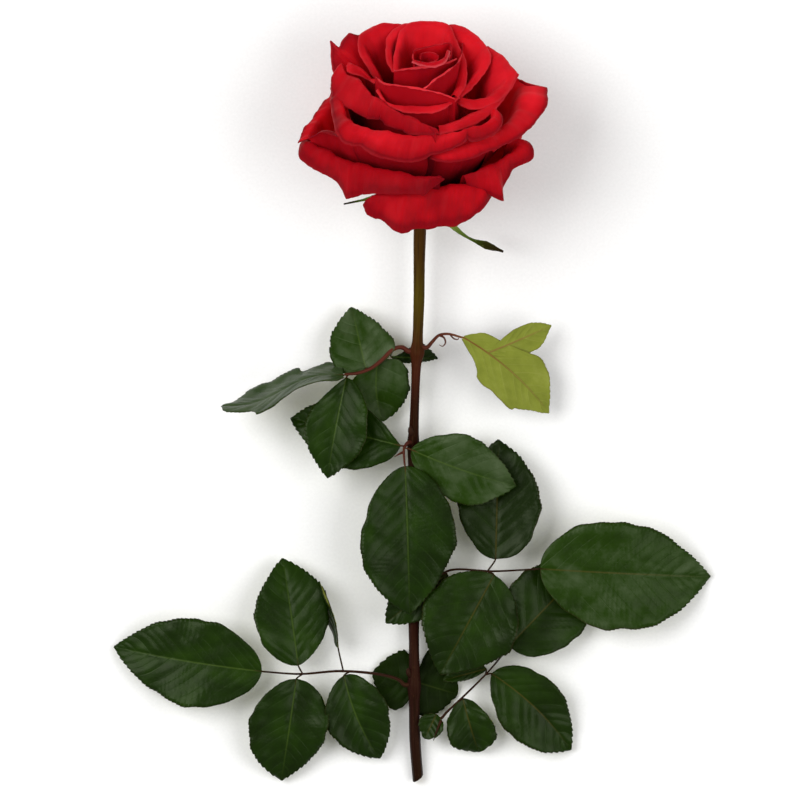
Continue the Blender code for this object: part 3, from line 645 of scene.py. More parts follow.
@dataclass(frozen=True)
class PetalForm:
    """What all petals share between claw and crest; spreads, radii and heights are shares of the crest's."""

    claw_spread: float = 0.45
    claw_radius_mm: float = 3.0
    claw_height_mm: float = 1.5
    low_spread: float = 0.8
    low_radius: tuple[float, float] = (0.45, 0.30)      # of a leaning petal, and more when upright
    low_height: tuple[float, float] = (0.16, 0.10)
    waist_radius: tuple[float, float] = (0.84, 0.15)
    waist_height: float = 0.62
    nested_radius: float = 0.78                         # of the waist of a petal that leans in
    nested_height: float = 0.86
    curl_least_mm: float = 0.25                         # curl of a lip without width
    curl_share: float = 0.4                             # and how it grows with the lip


PETAL_FORM = PetalForm()


@dataclass(frozen=True)
class Petal:
    """A petal, from its claw in the flower's core up to its rolled lip."""

    name: str
    belly: float                # 0 leans out, 1 stands upright
    rims: tuple[Rim, ...]
    roll: float = 0.5           # how far the lip curls on under its hem
    curl_deg: float = 35.0
    swell: float = 0.35         # height of the undulations of its face
    nest: float = 0.0           # 1 when its face leans in against the petals inside it
    rim_light_strength: float = 1.0           # how strong the painted light on its rim is
    tone: float = 0.0           # painted light above 0, painted shade below
    shaded: float = 0.4         # share of its height, from the claw up, that darkens with painted shade
    dusk: float = 0.0           # how much darker its lip turns towards the hem

    def knots(self) -> Grid:
        """Knots of the face: one line per rim, each from the claw up to the curled-in edge."""
        middle = 0.5 * (self.rims[0].azimuth + self.rims[-1].azimuth)
        return np.array([self.rib(rim, middle) for rim in self.rims])

    def rib(self, rim: Rim, middle: float) -> list[Grid]:
        """One line of knots up the face.

        Args:
            rim: the place on the petal's rim where it ends.
            middle: azimuth of the claw.

        Returns:
            Points at the claw, low on the face, at its waist, crest and hem, and on the curled-in edge.
        """
        form = PETAL_FORM
        spread = rim.crest_azimuth - middle
        low_radius = rim.crest_radius * (form.low_radius[0] + form.low_radius[1] * self.belly)
        low_height = rim.crest_height * (form.low_height[0] + form.low_height[1] * self.belly)
        upright_radius = form.waist_radius[0] + form.waist_radius[1] * self.belly
        waist_radius = upright_radius * (1.0 - self.nest) + form.nested_radius * self.nest
        waist_height = form.waist_height * (1.0 - self.nest) + form.nested_height * self.nest
        out = np.array([rim.radius - rim.crest_radius, rim.height - rim.crest_height])
        length = float(np.linalg.norm(out)) + NO_STEP
        out = out / length
        turn = math.radians(self.curl_deg)
        curl = min(self.roll, form.curl_least_mm + form.curl_share * length) * np.array([
            math.cos(turn) * out[0] + math.sin(turn) * out[1],
            math.cos(turn) * out[1] - math.sin(turn) * out[0]])
        return [
            FLOWER.point(middle + spread * form.claw_spread, form.claw_radius_mm, form.claw_height_mm),
            FLOWER.point(middle + spread * form.low_spread, low_radius, low_height + form.claw_height_mm),
            FLOWER.point(rim.crest_azimuth, rim.crest_radius * waist_radius, rim.crest_height * waist_height),
            FLOWER.point(rim.crest_azimuth, rim.crest_radius, rim.crest_height),
            FLOWER.point(rim.azimuth, rim.radius, rim.height),
            FLOWER.point(rim.azimuth, rim.radius + curl[0], rim.height + curl[1]),
        ]


@dataclass
class Bloom:
    """All the petals, standing in the flower's core."""

    petals: tuple[Petal, ...]
    columns_per_rim: int = 7
    rows_per_span: tuple[int, ...] = (5, 7, 9, 9, 4)    # claw, low, waist, crest, hem, edge
    pointing: tuple[float, ...] = (0.0, 0.0, 0.0, 0.5, 1.0, 1.0)    # how pointed a sharp corner is at each
    thickness: float = 0.26
    swells: Waves = ((17.0, 1.0), (9.0, 0.6), (4.6, 0.32), (2.3, 0.12))
    swell_lean: float = 3.0     # most that an undulation leans to a side
    nicks: Waves = ((13.0, 0.5), (5.3, 0.4), (2.9, 0.3), (1.7, 0.15))
    hem_nicks: float = 0.28     # how far the hem's small waves reach in and out
    rim_light_width: float = 0.8      # how far the painted rim light fades into the face
    dusk_width: float = 5.5     # how far the darker band does
    rim_width: float = 1.4      # and the darkest line along the hem
    painted_shade_fade: float = 0.35     # share of the height over which the painted shade fades
    seed_step: float = 7.3
    floor: float = 0.2
    core_profile: tuple[tuple[float, float], ...] = (
        (0.5, 0.2), (1.0, 4.2), (6.0, 8.4), (22.0, 11.5), (40.0, 10.0), (52.0, 5.4), (55.0, 0.2))
    core_rings: int = 60
    core_sides: int = 96
    core_claws: float = 13.0
    heart_names: tuple[str, ...] = (
        "heart_lip", "heart_back", "heart_core", "bud_tip", "bud_wrap", "bud_fold")

    def face(self, petal: Petal) -> Grid:
        """Lay a petal's middle surface, smooth but for its sharp corners.

        Args:
            petal: the petal.

        Returns:
            Points (rows, columns, xyz), with rows from the claw to the hem.
        """
        knots = petal.knots()
        corners = np.array([rim.sharp for rim in petal.rims])
        places = np.linspace(0.0, len(knots) - 1.0, (len(knots) - 1) * self.columns_per_rim + 1)
        soft = smooth_line(knots, places)
        pointed = smooth_line(knots, places, corners)
        lines = soft + (pointed - soft) * np.array(self.pointing)[:, None]
        steps = [np.linspace(span, span + 1.0, count, endpoint=False)
                 for span, count in enumerate(self.rows_per_span)]
        steps.append(np.array([float(len(self.rows_per_span))]))
        return smooth_line(lines.transpose(1, 0, 2), np.concatenate(steps))

    def swelling(self, petal: Petal, across: Grid, rise: Grid, chance: np.random.RandomState) -> Grid:
        """Undulate a face, most near its lip.

        Args:
            petal: the petal.
            across: distance across the face at each point.
            rise: share of the way from the claw to the crest.
            chance: source of its random draws.

        Returns:
            Heights (rows, columns).
        """
        total = np.zeros_like(across)
        for pitch, share in self.swells:
            lean = chance.uniform(-self.swell_lean, self.swell_lean)
            phase = chance.uniform(0.0, 2.0 * math.pi)
            total += share * np.sin(2.0 * math.pi * (across + lean * rise * 4.0) / pitch + phase)
        return total * petal.swell * np.clip(rise, 0.0, 1.0) ** 2

    def add_petal(self, draft: Draft, petal: Petal, seed: int) -> None:
        """Add one petal's face and the values that its finish reads.

        Args:
            draft: the piece that it joins.
            petal: the petal.
            seed: number of its small irregularities.
        """
        chance = np.random.RandomState(seed)
        grid = self.face(petal)
        waist_row, crest_row = sum(self.rows_per_span[:2]), sum(self.rows_per_span[:3])
        hem_row = sum(self.rows_per_span[:4]) + 1       # just past the hem, where the lip turns under
        strides = np.linalg.norm(np.diff(grid[crest_row], axis=0), axis=-1)
        across = np.concatenate([[0.0], np.cumsum(strides)])
        across = np.broadcast_to(across - across.mean(), grid.shape[:2])
        climbs = np.linalg.norm(np.diff(grid, axis=0), axis=-1)
        along = np.concatenate([np.zeros((1, grid.shape[1])), np.cumsum(climbs, axis=0)])
        rise = along / along[crest_row]
        normals = grid_normals(grid)
        grid = grid + normals * self.swelling(petal, across, rise, chance)[..., None]
        outward = np.gradient(grid, axis=0)
        outward /= np.linalg.norm(outward, axis=-1, keepdims=True) + NO_LENGTH
        nicks = sum(share * np.sin(2.0 * math.pi * across / pitch + chance.uniform(0.0, LAST_PHASE))
                    for pitch, share in self.nicks)
        near_hem = np.clip((along - along[crest_row]) / (along[-1] - along[crest_row]), 0.0, 1.0) ** 2
        grid = grid + outward * (self.hem_nicks * nicks * near_hem)[..., None]
        grid[..., 2] = np.maximum(grid[..., 2], self.floor)
        axis_point = FLOWER.point(0.0, 0.0, 0.6 * petal.rims[0].height)
        inward = (normals[waist_row] * (axis_point - grid[waist_row])).sum(axis=-1).mean()
        # painted light and shade per petal: its tone, the pale rim near the hem, and the darkening from the
        # claw up
        below_hem = along[hem_row] - along
        dusk, rim_line, rim_light_mask = (np.clip(1.0 - below_hem / width, 0.0, 1.0)
                               for width in (self.dusk_width, self.rim_width, self.rim_light_width))
        draft.add_grid(grid, {
            "across": across, "along": along, "seed": self.seed_step * seed,
            "tone": petal.tone - petal.dusk * (dusk + rim_line),
            "painted_shade": np.clip((petal.shaded - rise) / self.painted_shade_fade, 0.0, 1.0),
            "rim_light_mask": petal.rim_light_strength * rim_light_mask,
        }, flip=inward < 0.0)

    def build(self) -> list[bpy.types.Object]:
        """Make a piece of each outer and middle petal, one of the wound heart and one of the core.

        Returns:
            The pieces.
        """
        inner, outer, heart_inner = VELVET.build(), PETAL_BACK.build(), HEART_RED.build()
        pieces = []
        heart = Draft("petals_heart")
        for seed, petal in enumerate(self.petals, start=1):
            if petal.name in self.heart_names:
                self.add_petal(heart, petal, seed)
                continue
            draft = Draft("petal_" + petal.name)
            self.add_petal(draft, petal, seed)
            pieces.append(draft.to_object([inner, outer], self.thickness))
        pieces.append(heart.to_object([heart_inner, outer], self.thickness))
        pieces.append(self.core(outer))
        for piece in pieces:
            place_piece(piece, "petal_velvet", "bloom")
        return pieces

    def core(self, finish: bpy.types.Material) -> bpy.types.Object:
        """Make the crowded petal claws round the flower's axis.

        Args:
            finish: what dresses them.

        Returns:
            The piece.
        """
        profile = even_line(self.core_profile, self.core_rings)
        turn = full_turn(self.core_sides, 360.0)
        ridges = 0.05 * np.sin(np.radians(turn * self.core_claws) + profile[:, :1] * 0.1)
        grid = FLOWER.point(turn, profile[:, 1:] * (1.0 + ridges), profile[:, :1])
        draft = Draft("petal_claws")
        # painted shade: the whole core is darkened, as it lies deep among the petals
        draft.add_grid(grid, {"across": turn * 0.2, "along": profile[:, :1], "painted_shade": 0.9, "tone": 0.0,
                              "rim_light_mask": 0.0, "seed": 0.0}, closed=True, flip=True)
        return draft.to_object([finish])


# Petals from the lowest to the heart. Azimuth 90 faces up from the surface, 270 down to it.
# Each petal's tone, rim and darkened height below are painted light and shade, set petal by petal.
PETALS = (
    Petal("back_left_low", 0.1, (
        Rim(196, 44, 24, 196, 39, 27), Rim(214, 47, 17, 214, 39, 25), Rim(232, 46.5, 11, 232, 36.5, 24),
        Rim(250, 45, 16, 250, 36, 25), Rim(262, 42.5, 19.5, 262, 36.5, 25.5),
        Rim(270, 38.5, 26, 269, 35.5, 30),
    )),
    Petal("back_right_low", 0.1, (
        Rim(272, 38.5, 26, 273, 35.5, 30), Rim(281, 42.5, 19, 281, 36.5, 25),
        Rim(293, 45.5, 16, 293, 36.5, 25),
        Rim(311, 46.5, 11, 311, 36.5, 24), Rim(330, 47, 18, 330, 39, 26), Rim(348, 43, 26, 348, 38, 29),
        Rim(370, 40, 33, 370, 37, 34), Rim(392, 36, 31, 392, 34, 32),
    )),
    Petal("back_middle", 0.3, (
        Rim(236, 37, 42, 236, 34, 43), Rim(252, 40, 41, 252, 35, 44), Rim(270, 41, 41, 270, 35, 45),
        Rim(290, 40, 42, 290, 35, 45), Rim(310, 37, 44, 310, 34, 45), Rim(334, 36, 45, 334, 34, 46),
    )),
    Petal("front_low", 0.1, (
        Rim(122, 44.5, 17, 121, 44.4, 19), Rim(118.5, 46, 14.5, 117.5, 42, 21),
        Rim(112, 45.3, 12.5, 111.5, 38.9, 22), Rim(102.5, 47.2, 10, 106, 36.5, 22.5),
        Rim(98, 46.6, 9, 99.5, 35.2, 23), Rim(93, 43.4, 9, 93, 34.4, 23), Rim(86.5, 43.8, 9, 83, 34.2, 23),
        Rim(78.5, 43.1, 10, 73.5, 34.2, 23), Rim(73.5, 45.4, 10, 67.5, 35.2, 23),
        Rim(67.5, 45.3, 11, 60.5, 36.5, 23), Rim(61, 46, 13, 54.5, 37.7, 22.5),
        Rim(54.5, 45, 15, 49.5, 39.4, 21.5), Rim(45.5, 42.1, 17, 46.5, 40.9, 20),
        Rim(44.5, 41.4, 18.5, 45.5, 41.5, 19.5),
    ), tone=-0.1, rim_light_strength=0.1, dusk=0.36),
    Petal("right_low", 0.15, (
        Rim(40, 42, 24, 40, 41, 25), Rim(25, 42.5, 26, 25, 41.5, 27.5), Rim(8, 42.5, 27.5, 8, 41.5, 29),
        Rim(-10, 42, 30, -10, 41, 31.5), Rim(-28, 41, 34, -28, 40, 35),
    )),
    Petal("left_front", 0.15, (
        Rim(179, 47, 31, 178, 45.5, 32), Rim(169, 51.2, 28.5, 169, 48.7, 30.5, True),
        Rim(161, 53.1, 27, 166, 47.2, 31), Rim(155.5, 51.1, 26, 160.5, 44.6, 30.5),
        Rim(148.5, 47.7, 24.5, 154.5, 41.8, 30),
        Rim(139, 45.6, 23, 148, 39.6, 29.5), Rim(129, 49, 20.5, 141, 37.8, 29.5, True),
        Rim(125.5, 45.9, 21.5, 132.5, 35.9, 29.5), Rim(118, 43.2, 23, 120.5, 34.5, 30),
        Rim(104.5, 40.8, 24, 105.5, 34.2, 30), Rim(93.5, 40.8, 24.5, 94, 35.2, 30),
        Rim(87, 40.9, 24.5, 86.5, 37, 30.5, True), Rim(83.5, 38.8, 26, 83, 37.3, 30.5),
        Rim(78.5, 38.5, 28, 80, 38.3, 31), Rim(75, 37.9, 29.5, 77, 38.7, 31, True),
    ), tone=-0.18, shaded=1.0, rim_light_strength=0.1, dusk=0.2),
    Petal("right_front", 0.15, (
        Rim(59, 37.3, 23.5, 60, 35.6, 27), Rim(55.5, 38.9, 21, 56.5, 37.1, 28),
        Rim(50, 42, 19.5, 49.5, 38.1, 28.5), Rim(47.5, 45.9, 18.5, 44.5, 39.3, 29),
        Rim(45.5, 48.9, 17.5, 41, 40.1, 29.5, True), Rim(41, 45.8, 20.5, 37, 40.6, 30),
        Rim(36.5, 45.4, 23, 34, 41.4, 30.5), Rim(31.5, 45.8, 26, 30, 42.2, 31),
        Rim(28, 49.4, 28, 27, 43.9, 32), Rim(24, 50.9, 29, 24.5, 44.8, 33),
        Rim(21, 49.7, 31, 23, 44.7, 34), Rim(19, 47.6, 33, 22.5, 43.2, 35),
        Rim(19, 44.4, 34, 23.5, 41.2, 35.5),
    ), tone=-0.06, shaded=1.05, rim_light_strength=0.1, dusk=0.3),
    Petal("left_side", 0.2, (
        Rim(-139, 46.8, 40, -130.5, 48.3, 41), Rim(-148.5, 43.1, 38.5, -140, 42.2, 39),
        Rim(-158, 40.4, 37.5, -152.5, 37.9, 38), Rim(-169.5, 41.6, 36.5, -165.5, 37.3, 37),
        Rim(-178.5, 44.3, 35.5, -176, 39.6, 36), Rim(-185.5, 47.7, 34, -184, 43.4, 34.5),
        Rim(-191, 50.5, 32.5, -190.5, 46.5, 33.5), Rim(-194, 52.2, 31.5, -194.5, 48.5, 33, True),
        Rim(-195.5, 48.4, 33.5, -195, 45.7, 34), Rim(-196.5, 43.3, 36, -196.5, 41.2, 36),
        Rim(-209.5, 37.6, 38, -209.5, 36.1, 38), Rim(-222, 33, 38, -222, 32, 38.5),
    ), tone=0.2, shaded=0.65, rim_light_strength=0.3, dusk=0.3),
    Petal("right_side", 0.25, (
        Rim(83.5, 34.3, 38, 86, 29.4, 40), Rim(73, 36.8, 37, 74.5, 31.2, 40),
        Rim(64.5, 38.3, 37, 63.5, 32.8, 40.5), Rim(55.5, 39.5, 37.5, 54, 34.3, 41),
        Rim(47, 40.6, 38.5, 45.5, 35.9, 41.5), Rim(39.5, 42.5, 39, 37, 37.8, 42),
        Rim(32, 45.4, 40, 28.5, 39.7, 43), Rim(22.5, 47.4, 41, 21, 40.9, 44),
        Rim(14.5, 49.7, 42, 13, 41.8, 45), Rim(7, 51.9, 43.5, 5.5, 42.6, 46),
        Rim(0, 52.6, 45, -0.5, 42.8, 47), Rim(-7, 53, 46, -7.5, 42.3, 47.5, True),
        Rim(-6.5, 46.9, 47.5, -12, 40.4, 48), Rim(-10.5, 42.7, 48.3, -16, 38, 48.5),
        Rim(-15.5, 39.7, 49, -21.5, 37, 49),
    ), nest=0.5, tone=0.22, rim_light_strength=0.3, shaded=0.85, dusk=0.3),
    Petal("front_lip", 0.45, (
        Rim(178, 37.2, 48, 185.5, 33.8, 49), Rim(165, 38, 47, 165.5, 33.8, 48),
        Rim(150.5, 41.2, 46.5, 152, 35.2, 47.5), Rim(142.5, 43.2, 45, 143, 36.2, 47.5, True),
        Rim(137, 43.7, 43.5, 139, 35.7, 47.5), Rim(132, 42.7, 43, 132.5, 34.3, 47.5),
        Rim(127.5, 41, 43, 125, 33.1, 47.5), Rim(121, 40.6, 41.5, 118, 32.4, 47.5),
        Rim(113, 39.8, 40, 111, 31.8, 47.5), Rim(106.5, 38.8, 39, 103, 31.7, 47.5),
        Rim(99.5, 38.1, 38.5, 95.5, 31.5, 47.5), Rim(91.5, 37, 39, 87, 32.3, 48),
        Rim(83.5, 36.1, 40.5, 79, 32.6, 48), Rim(74.5, 36.1, 41.5, 71, 33.4, 48.5),
        Rim(66.5, 37, 43.5, 64, 34.5, 49), Rim(61, 37.4, 45, 59.5, 34.9, 49),
        Rim(58, 36.4, 47, 57, 35.5, 49.3, True), Rim(56, 37.7, 45, 53.5, 36, 49.5),
        Rim(50, 40.7, 45.5, 48, 37, 50), Rim(43, 42.5, 47, 42, 37.8, 50.5),
        Rim(37, 42.2, 49, 35, 37.5, 51), Rim(32, 39.2, 50.5, 30.5, 35.5, 51.5),
    ), shaded=0.8, tone=0.05, rim_light_strength=0.6, dusk=0.3),
    Petal("second_lip", 0.55, (
        Rim(-173.5, 37, 53, -164, 34.1, 56), Rim(-181.5, 36.8, 50, -172.5, 31.8, 55.5),
        Rim(-190, 37, 47, -177.5, 28.6, 55.5), Rim(-195, 32.6, 47, -185.5, 25.7, 55.5),
        Rim(-205, 29.1, 46.5, -198.5, 23.9, 55), Rim(-217, 28.2, 46, -214, 23.3, 55, True),
        Rim(-223.5, 26.1, 47, -223, 22.9, 54.5), Rim(-228.5, 25.2, 48, -229.5, 23.3, 54.5, True),
        Rim(-237.5, 26.6, 47, -240, 24.4, 54.5), Rim(-251, 28, 47, -252, 25.7, 54),
        Rim(-263.5, 30.8, 48, -264, 28.2, 53.5), Rim(-275, 33, 49, -274, 31.5, 53),
        Rim(-282.5, 35.6, 50.5, -281, 35, 52.5),
    ), tone=-0.02, shaded=0.95, rim_light_strength=0.6, dusk=0.15),
    Petal("left_back", 0.5, (
        Rim(-174.5, 33.8, 49, -173.5, 29.6, 49), Rim(-159.5, 39, 52, -159.5, 34.5, 52),
        Rim(-152, 42, 56, -153.5, 37.1, 55), Rim(-147.5, 44.2, 58, -152.5, 37.9, 56.5, True),
        Rim(-149.5, 40.9, 57.5, -152.5, 36.2, 57), Rim(-151, 38.6, 58, -151.5, 35.1, 57.5, True),
        Rim(-145.5, 38.7, 59.5, -147, 34.6, 58.5), Rim(-140, 38.3, 61, -143, 34.1, 59.5, True),
        Rim(-138.5, 35.4, 61.2, -139, 32.3, 60), Rim(-134, 33.7, 61.5, -133.5, 30.4, 60.5),
        Rim(-126, 32.7, 62, -126.5, 28.2, 60.5), Rim(-116.5, 30.3, 63, -118, 24.9, 60.5),
    ), swell=0.2, nest=1.0, tone=-0.04, dusk=0.2),
    Petal("left_curl", 0.6, (
        Rim(-166.8, 31.5, 57, -164.3, 30.8, 57.5), Rim(-170.8, 30.9, 55.5, -167.7, 28.8, 58),
        Rim(-172.1, 28, 55, -171.3, 26.2, 58), Rim(-175.4, 24.7, 55, -175.8, 23.6, 57),
        Rim(-180.5, 21.5, 54.5, -181.5, 21, 55.5), Rim(-187, 19, 54.3, -184, 17.7, 55),
    ), swell=0.15, nest=1.0, rim_light_strength=2.0),
    Petal("left_inner", 0.7, (
        Rim(-174, 18.2, 52, -171, 16.6, 52), Rim(-165.5, 21, 54.5, -164.5, 18.3, 54.5),
        Rim(-158, 24.9, 57, -157, 22.3, 57.5), Rim(-152.5, 28.4, 59.5, -151.5, 26, 60),
        Rim(-146, 31.3, 61.5, -145.5, 28.5, 62), Rim(-140, 32.1, 63.5, -140.5, 28.9, 63.5),
        Rim(-132.5, 30.6, 65, -134.5, 27.5, 64.5), Rim(-124, 28.5, 66.3, -126, 25.6, 65),
        Rim(-113.5, 25.1, 67, -116, 23, 65.5), Rim(-99.5, 22.5, 66.5, -101.5, 21.1, 65),
    ), swell=0.2, nest=0.9, rim_light_strength=1.5, tone=0.03),
    Petal("left_strip", 0.8, (
        Rim(-171.5, 11.5, 57, -168.5, 10.3, 57), Rim(-154, 15, 59.5, -153.5, 13.1, 59.5),
        Rim(-140, 18.4, 62, -140, 16, 62), Rim(-129, 21.8, 64, -128.5, 18.9, 64),
        Rim(-119, 22.9, 66, -118.5, 20.2, 65.5), Rim(-109, 22.6, 67.3, -108, 20.6, 66.5),
        Rim(-95.5, 21.6, 68, -95, 20.1, 67),
    ), swell=0.2, nest=0.8, rim_light_strength=1.4, tone=0.1),
    Petal("right_back", 0.7, (
        Rim(-69.5, 23.7, 67, -66.5, 21, 66), Rim(-58, 26.8, 66.5, -54.5, 24, 65.5),
        Rim(-46.5, 28.8, 65.3, -44, 25.6, 64.5), Rim(-37, 30, 63.5, -35.5, 26.8, 63),
        Rim(-29, 31, 61.8, -27, 27.4, 61.5), Rim(-19.5, 30.7, 60, -19, 27.1, 60),
        Rim(-11.5, 28.7, 57.5, -11.5, 25.7, 58), Rim(-2.5, 25.9, 55.8, -1.5, 23.1, 56.5),
        Rim(8, 22.7, 54, 11, 20.3, 55), Rim(23, 20.5, 53, 26.5, 18.7, 54), Rim(39, 19.7, 52, 40, 18.1, 53),
    ), swell=0.2, nest=1.0, rim_light_strength=1.2, tone=0.14),
    Petal("right_lip", 0.55, (
        Rim(-30, 32.4, 60.5, -27.5, 30.3, 60), Rim(-19.5, 35.7, 58.5, -17, 32.5, 58),
        Rim(-10.5, 37.6, 57.5, -7, 34.3, 57), Rim(-4, 40.2, 56, 0.5, 35.7, 55.5, True),
        Rim(2.5, 38.3, 54, 6.5, 35.1, 54.5), Rim(11, 36.2, 52.5, 12.5, 33.5, 53.5),
        Rim(20, 34, 51.5, 19, 31.5, 53), Rim(28, 31, 50.5, 24.5, 28.6, 52.7),
        Rim(34.5, 27.3, 50, 29.5, 25.1, 52.5), Rim(37, 22.9, 50.3, 33, 21.5, 52.5),
        Rim(38.5, 19.3, 51.2, 35, 18.9, 52.7),
    ), swell=0.2, nest=1.0, rim_light_strength=1.2, tone=0.1),
    Petal("right_middle", 0.5, (
        Rim(-19.5, 37, 56.5, -16, 33.7, 56), Rim(-10.5, 38.9, 55.5, -6.5, 35.9, 55),
        Rim(-4.5, 40.8, 55, 0.5, 37, 54, True), Rim(3.5, 38.3, 53, 7.5, 35.2, 53),
        Rim(13, 36.2, 51.5, 15.5, 33.6, 52), Rim(21, 34.7, 50, 23.5, 32.1, 51),
        Rim(32, 33.8, 49, 33, 30.5, 50.3), Rim(42.5, 32.5, 48, 43.5, 29.4, 50),
        Rim(55, 32, 47.8, 55, 29.1, 50), Rim(67.5, 32.3, 48.2, 66.5, 29.5, 50),
        Rim(76.5, 32.4, 48.5, 75.5, 30.3, 50),
    ), swell=0.2, nest=1.0, rim_light_strength=1.2, tone=0.05),
    Petal("bud_back", 0.85, (
        Rim(-176.5, 10.7, 57.5, -176, 9.3, 57.5), Rim(-148.5, 12.7, 61, -144.5, 11.4, 61),
        Rim(-126, 16.4, 64, -123, 15, 64), Rim(-113, 20.4, 66.3, -111.5, 18.3, 66),
        Rim(-103.5, 21.7, 68, -102.5, 19.7, 67.3), Rim(-89.5, 21.7, 69, -89, 19.7, 68),
        Rim(-72.5, 22.4, 69, -72, 20.3, 68), Rim(-59.5, 23.2, 68, -59.5, 20.7, 67),
        Rim(-48, 21.3, 65.3, -48, 18.9, 65), Rim(-33, 19.7, 63, -33, 17.7, 63),
        Rim(-17.5, 19.4, 60.3, -17, 17.6, 60.5), Rim(0, 19.3, 57.7, 0.5, 17.6, 58),
        Rim(19, 19.6, 55.5, 19.5, 17.8, 56), Rim(40.5, 20.1, 54, 40.5, 18.3, 54.5),
    ), roll=0.4, swell=0.12, nest=1.0, tone=0.16),
    Petal("bud_front", 0.9, (
        Rim(150, 20.8, 56, 151, 20.1, 56), Rim(135, 22.1, 54.8, 135.5, 21.2, 55),
        Rim(122, 23.2, 54, 123.5, 22.2, 54.5), Rim(110, 23.3, 53.5, 112, 21.5, 54.5),
        Rim(98, 22.9, 53, 99.5, 20.5, 54.5), Rim(86, 23, 53, 86.5, 20.2, 54.5),
        Rim(74.5, 23.2, 53.3, 73.5, 20.7, 54.5), Rim(62.5, 22.2, 53.5, 62.5, 20.8, 54.3),
        Rim(51, 21, 53.5, 51.5, 20.3, 54), Rim(37, 20.5, 53.8, 37, 19.9, 54),
    ), roll=0.4, swell=0.12, rim_light_strength=1.4, tone=0.16),
    Petal("bud_fold", 0.95, (
        Rim(164.5, 19.2, 59, 165.5, 19.1, 59.1), Rim(143, 18.9, 60, 144, 18.7, 60.1),
        Rim(126.5, 16.9, 60.5, 127.5, 16.6, 60.6), Rim(104, 15.5, 60.5, 104.5, 15.1, 60.6),
        Rim(82.5, 16.6, 60, 82.5, 16.3, 60.1), Rim(67.5, 18.6, 59.3, 67, 18.3, 59.4),
        Rim(56, 20.4, 57.5, 55.5, 20.1, 57.6), Rim(50.5, 22.5, 56, 50, 22.2, 56.1),
    ), roll=0.4, swell=0.12, rim_light_strength=0.35, tone=0.12),
    Petal("bud_wrap", 0.95, (
        Rim(99, 13.8, 57, 99, 13.4, 57.1), Rim(79.5, 15.2, 61, 79, 14.8, 61.1),
        Rim(66, 13.5, 62, 65.5, 13.2, 62.1), Rim(47.5, 12.8, 62.5, 46.5, 12.5, 62.6),
        Rim(23.5, 13.3, 63, 22, 13.1, 63.1), Rim(5, 15.2, 63, 4, 15.2, 63.1),
        Rim(-19, 18.2, 62.5, -20, 18.3, 62.6), Rim(-40, 23, 62.5, -40.5, 23.2, 62.6),
    ), roll=0.4, swell=0.12, rim_light_strength=0.5, tone=0.15),
    Petal("bud_tip", 0.95, (
        Rim(152, 12.4, 62.5, 153.5, 12.2, 62.6), Rim(132.5, 9.3, 64, 134.5, 9, 64.2),
        Rim(100, 7.4, 65, 100.5, 7, 65.2), Rim(51, 8, 65, 49, 7.7, 65.2),
        Rim(23.5, 9.6, 64.5, 21.5, 9.5, 64.7), Rim(6.5, 12.3, 64, 4.5, 12.2, 64.2),
        Rim(-8.5, 15.3, 63, -10, 15.4, 63.1),
    ), roll=0.4, swell=0.12, rim_light_strength=0.4),
    Petal("heart_lip", 0.95, (
        Rim(128.5, 5.4, 66, 133, 4.3, 66.3), Rim(94, 6.1, 65.8, 90, 4.9, 66.5),
        Rim(63, 8.3, 65.7, 55, 6.6, 66.6), Rim(40, 10.1, 65.8, 32.5, 8.5, 66.5),
        Rim(13.5, 11.2, 65.9, 7.5, 10.2, 66.3), Rim(-17.5, 12.8, 66, -21, 12.1, 66.2),
    ), roll=0.4, swell=0.12, rim_light_strength=0.9, tone=-0.06),
    Petal("heart_back", 0.95, (
        Rim(118.5, 4.8, 65.5, 119.5, 4.6, 65.7), Rim(163, 3.3, 66.3, 167, 3.2, 66.5),
        Rim(229, 3.2, 67, 231.5, 3.4, 67.2), Rim(286.5, 4.4, 67.3, 286, 4.6, 67.5),
        Rim(311.5, 7.6, 67.3, 310.5, 7.8, 67.5), Rim(320, 11.5, 67, 319.5, 11.6, 67.2),
        Rim(324, 15.2, 66.5, 323.5, 15.3, 66.7), Rim(339, 13.7, 65.3, 338.5, 13.8, 65.5),
        Rim(363, 11.8, 64.5, 362, 11.8, 64.7),
    ), roll=0.4, swell=0.12, rim_light_strength=0.25),
    Petal("heart_core", 0.95, (
        Rim(90, 1.3, 65.5, 90, 1.1, 65.7), Rim(-64.5, 1, 66.3, -67.5, 1.1, 66.5),
        Rim(-33, 3.5, 66.6, -35, 3.6, 66.8), Rim(-12.5, 6, 66.5, -14, 6.1, 66.7),
        Rim(4, 7.6, 66, 3, 7.6, 66.2), Rim(20, 7.2, 65.3, 19, 7.1, 65.5),
        Rim(36, 4.7, 65, 34.5, 4.6, 65.2),
    ), roll=0.4, swell=0.12, rim_light_strength=0.25),
)


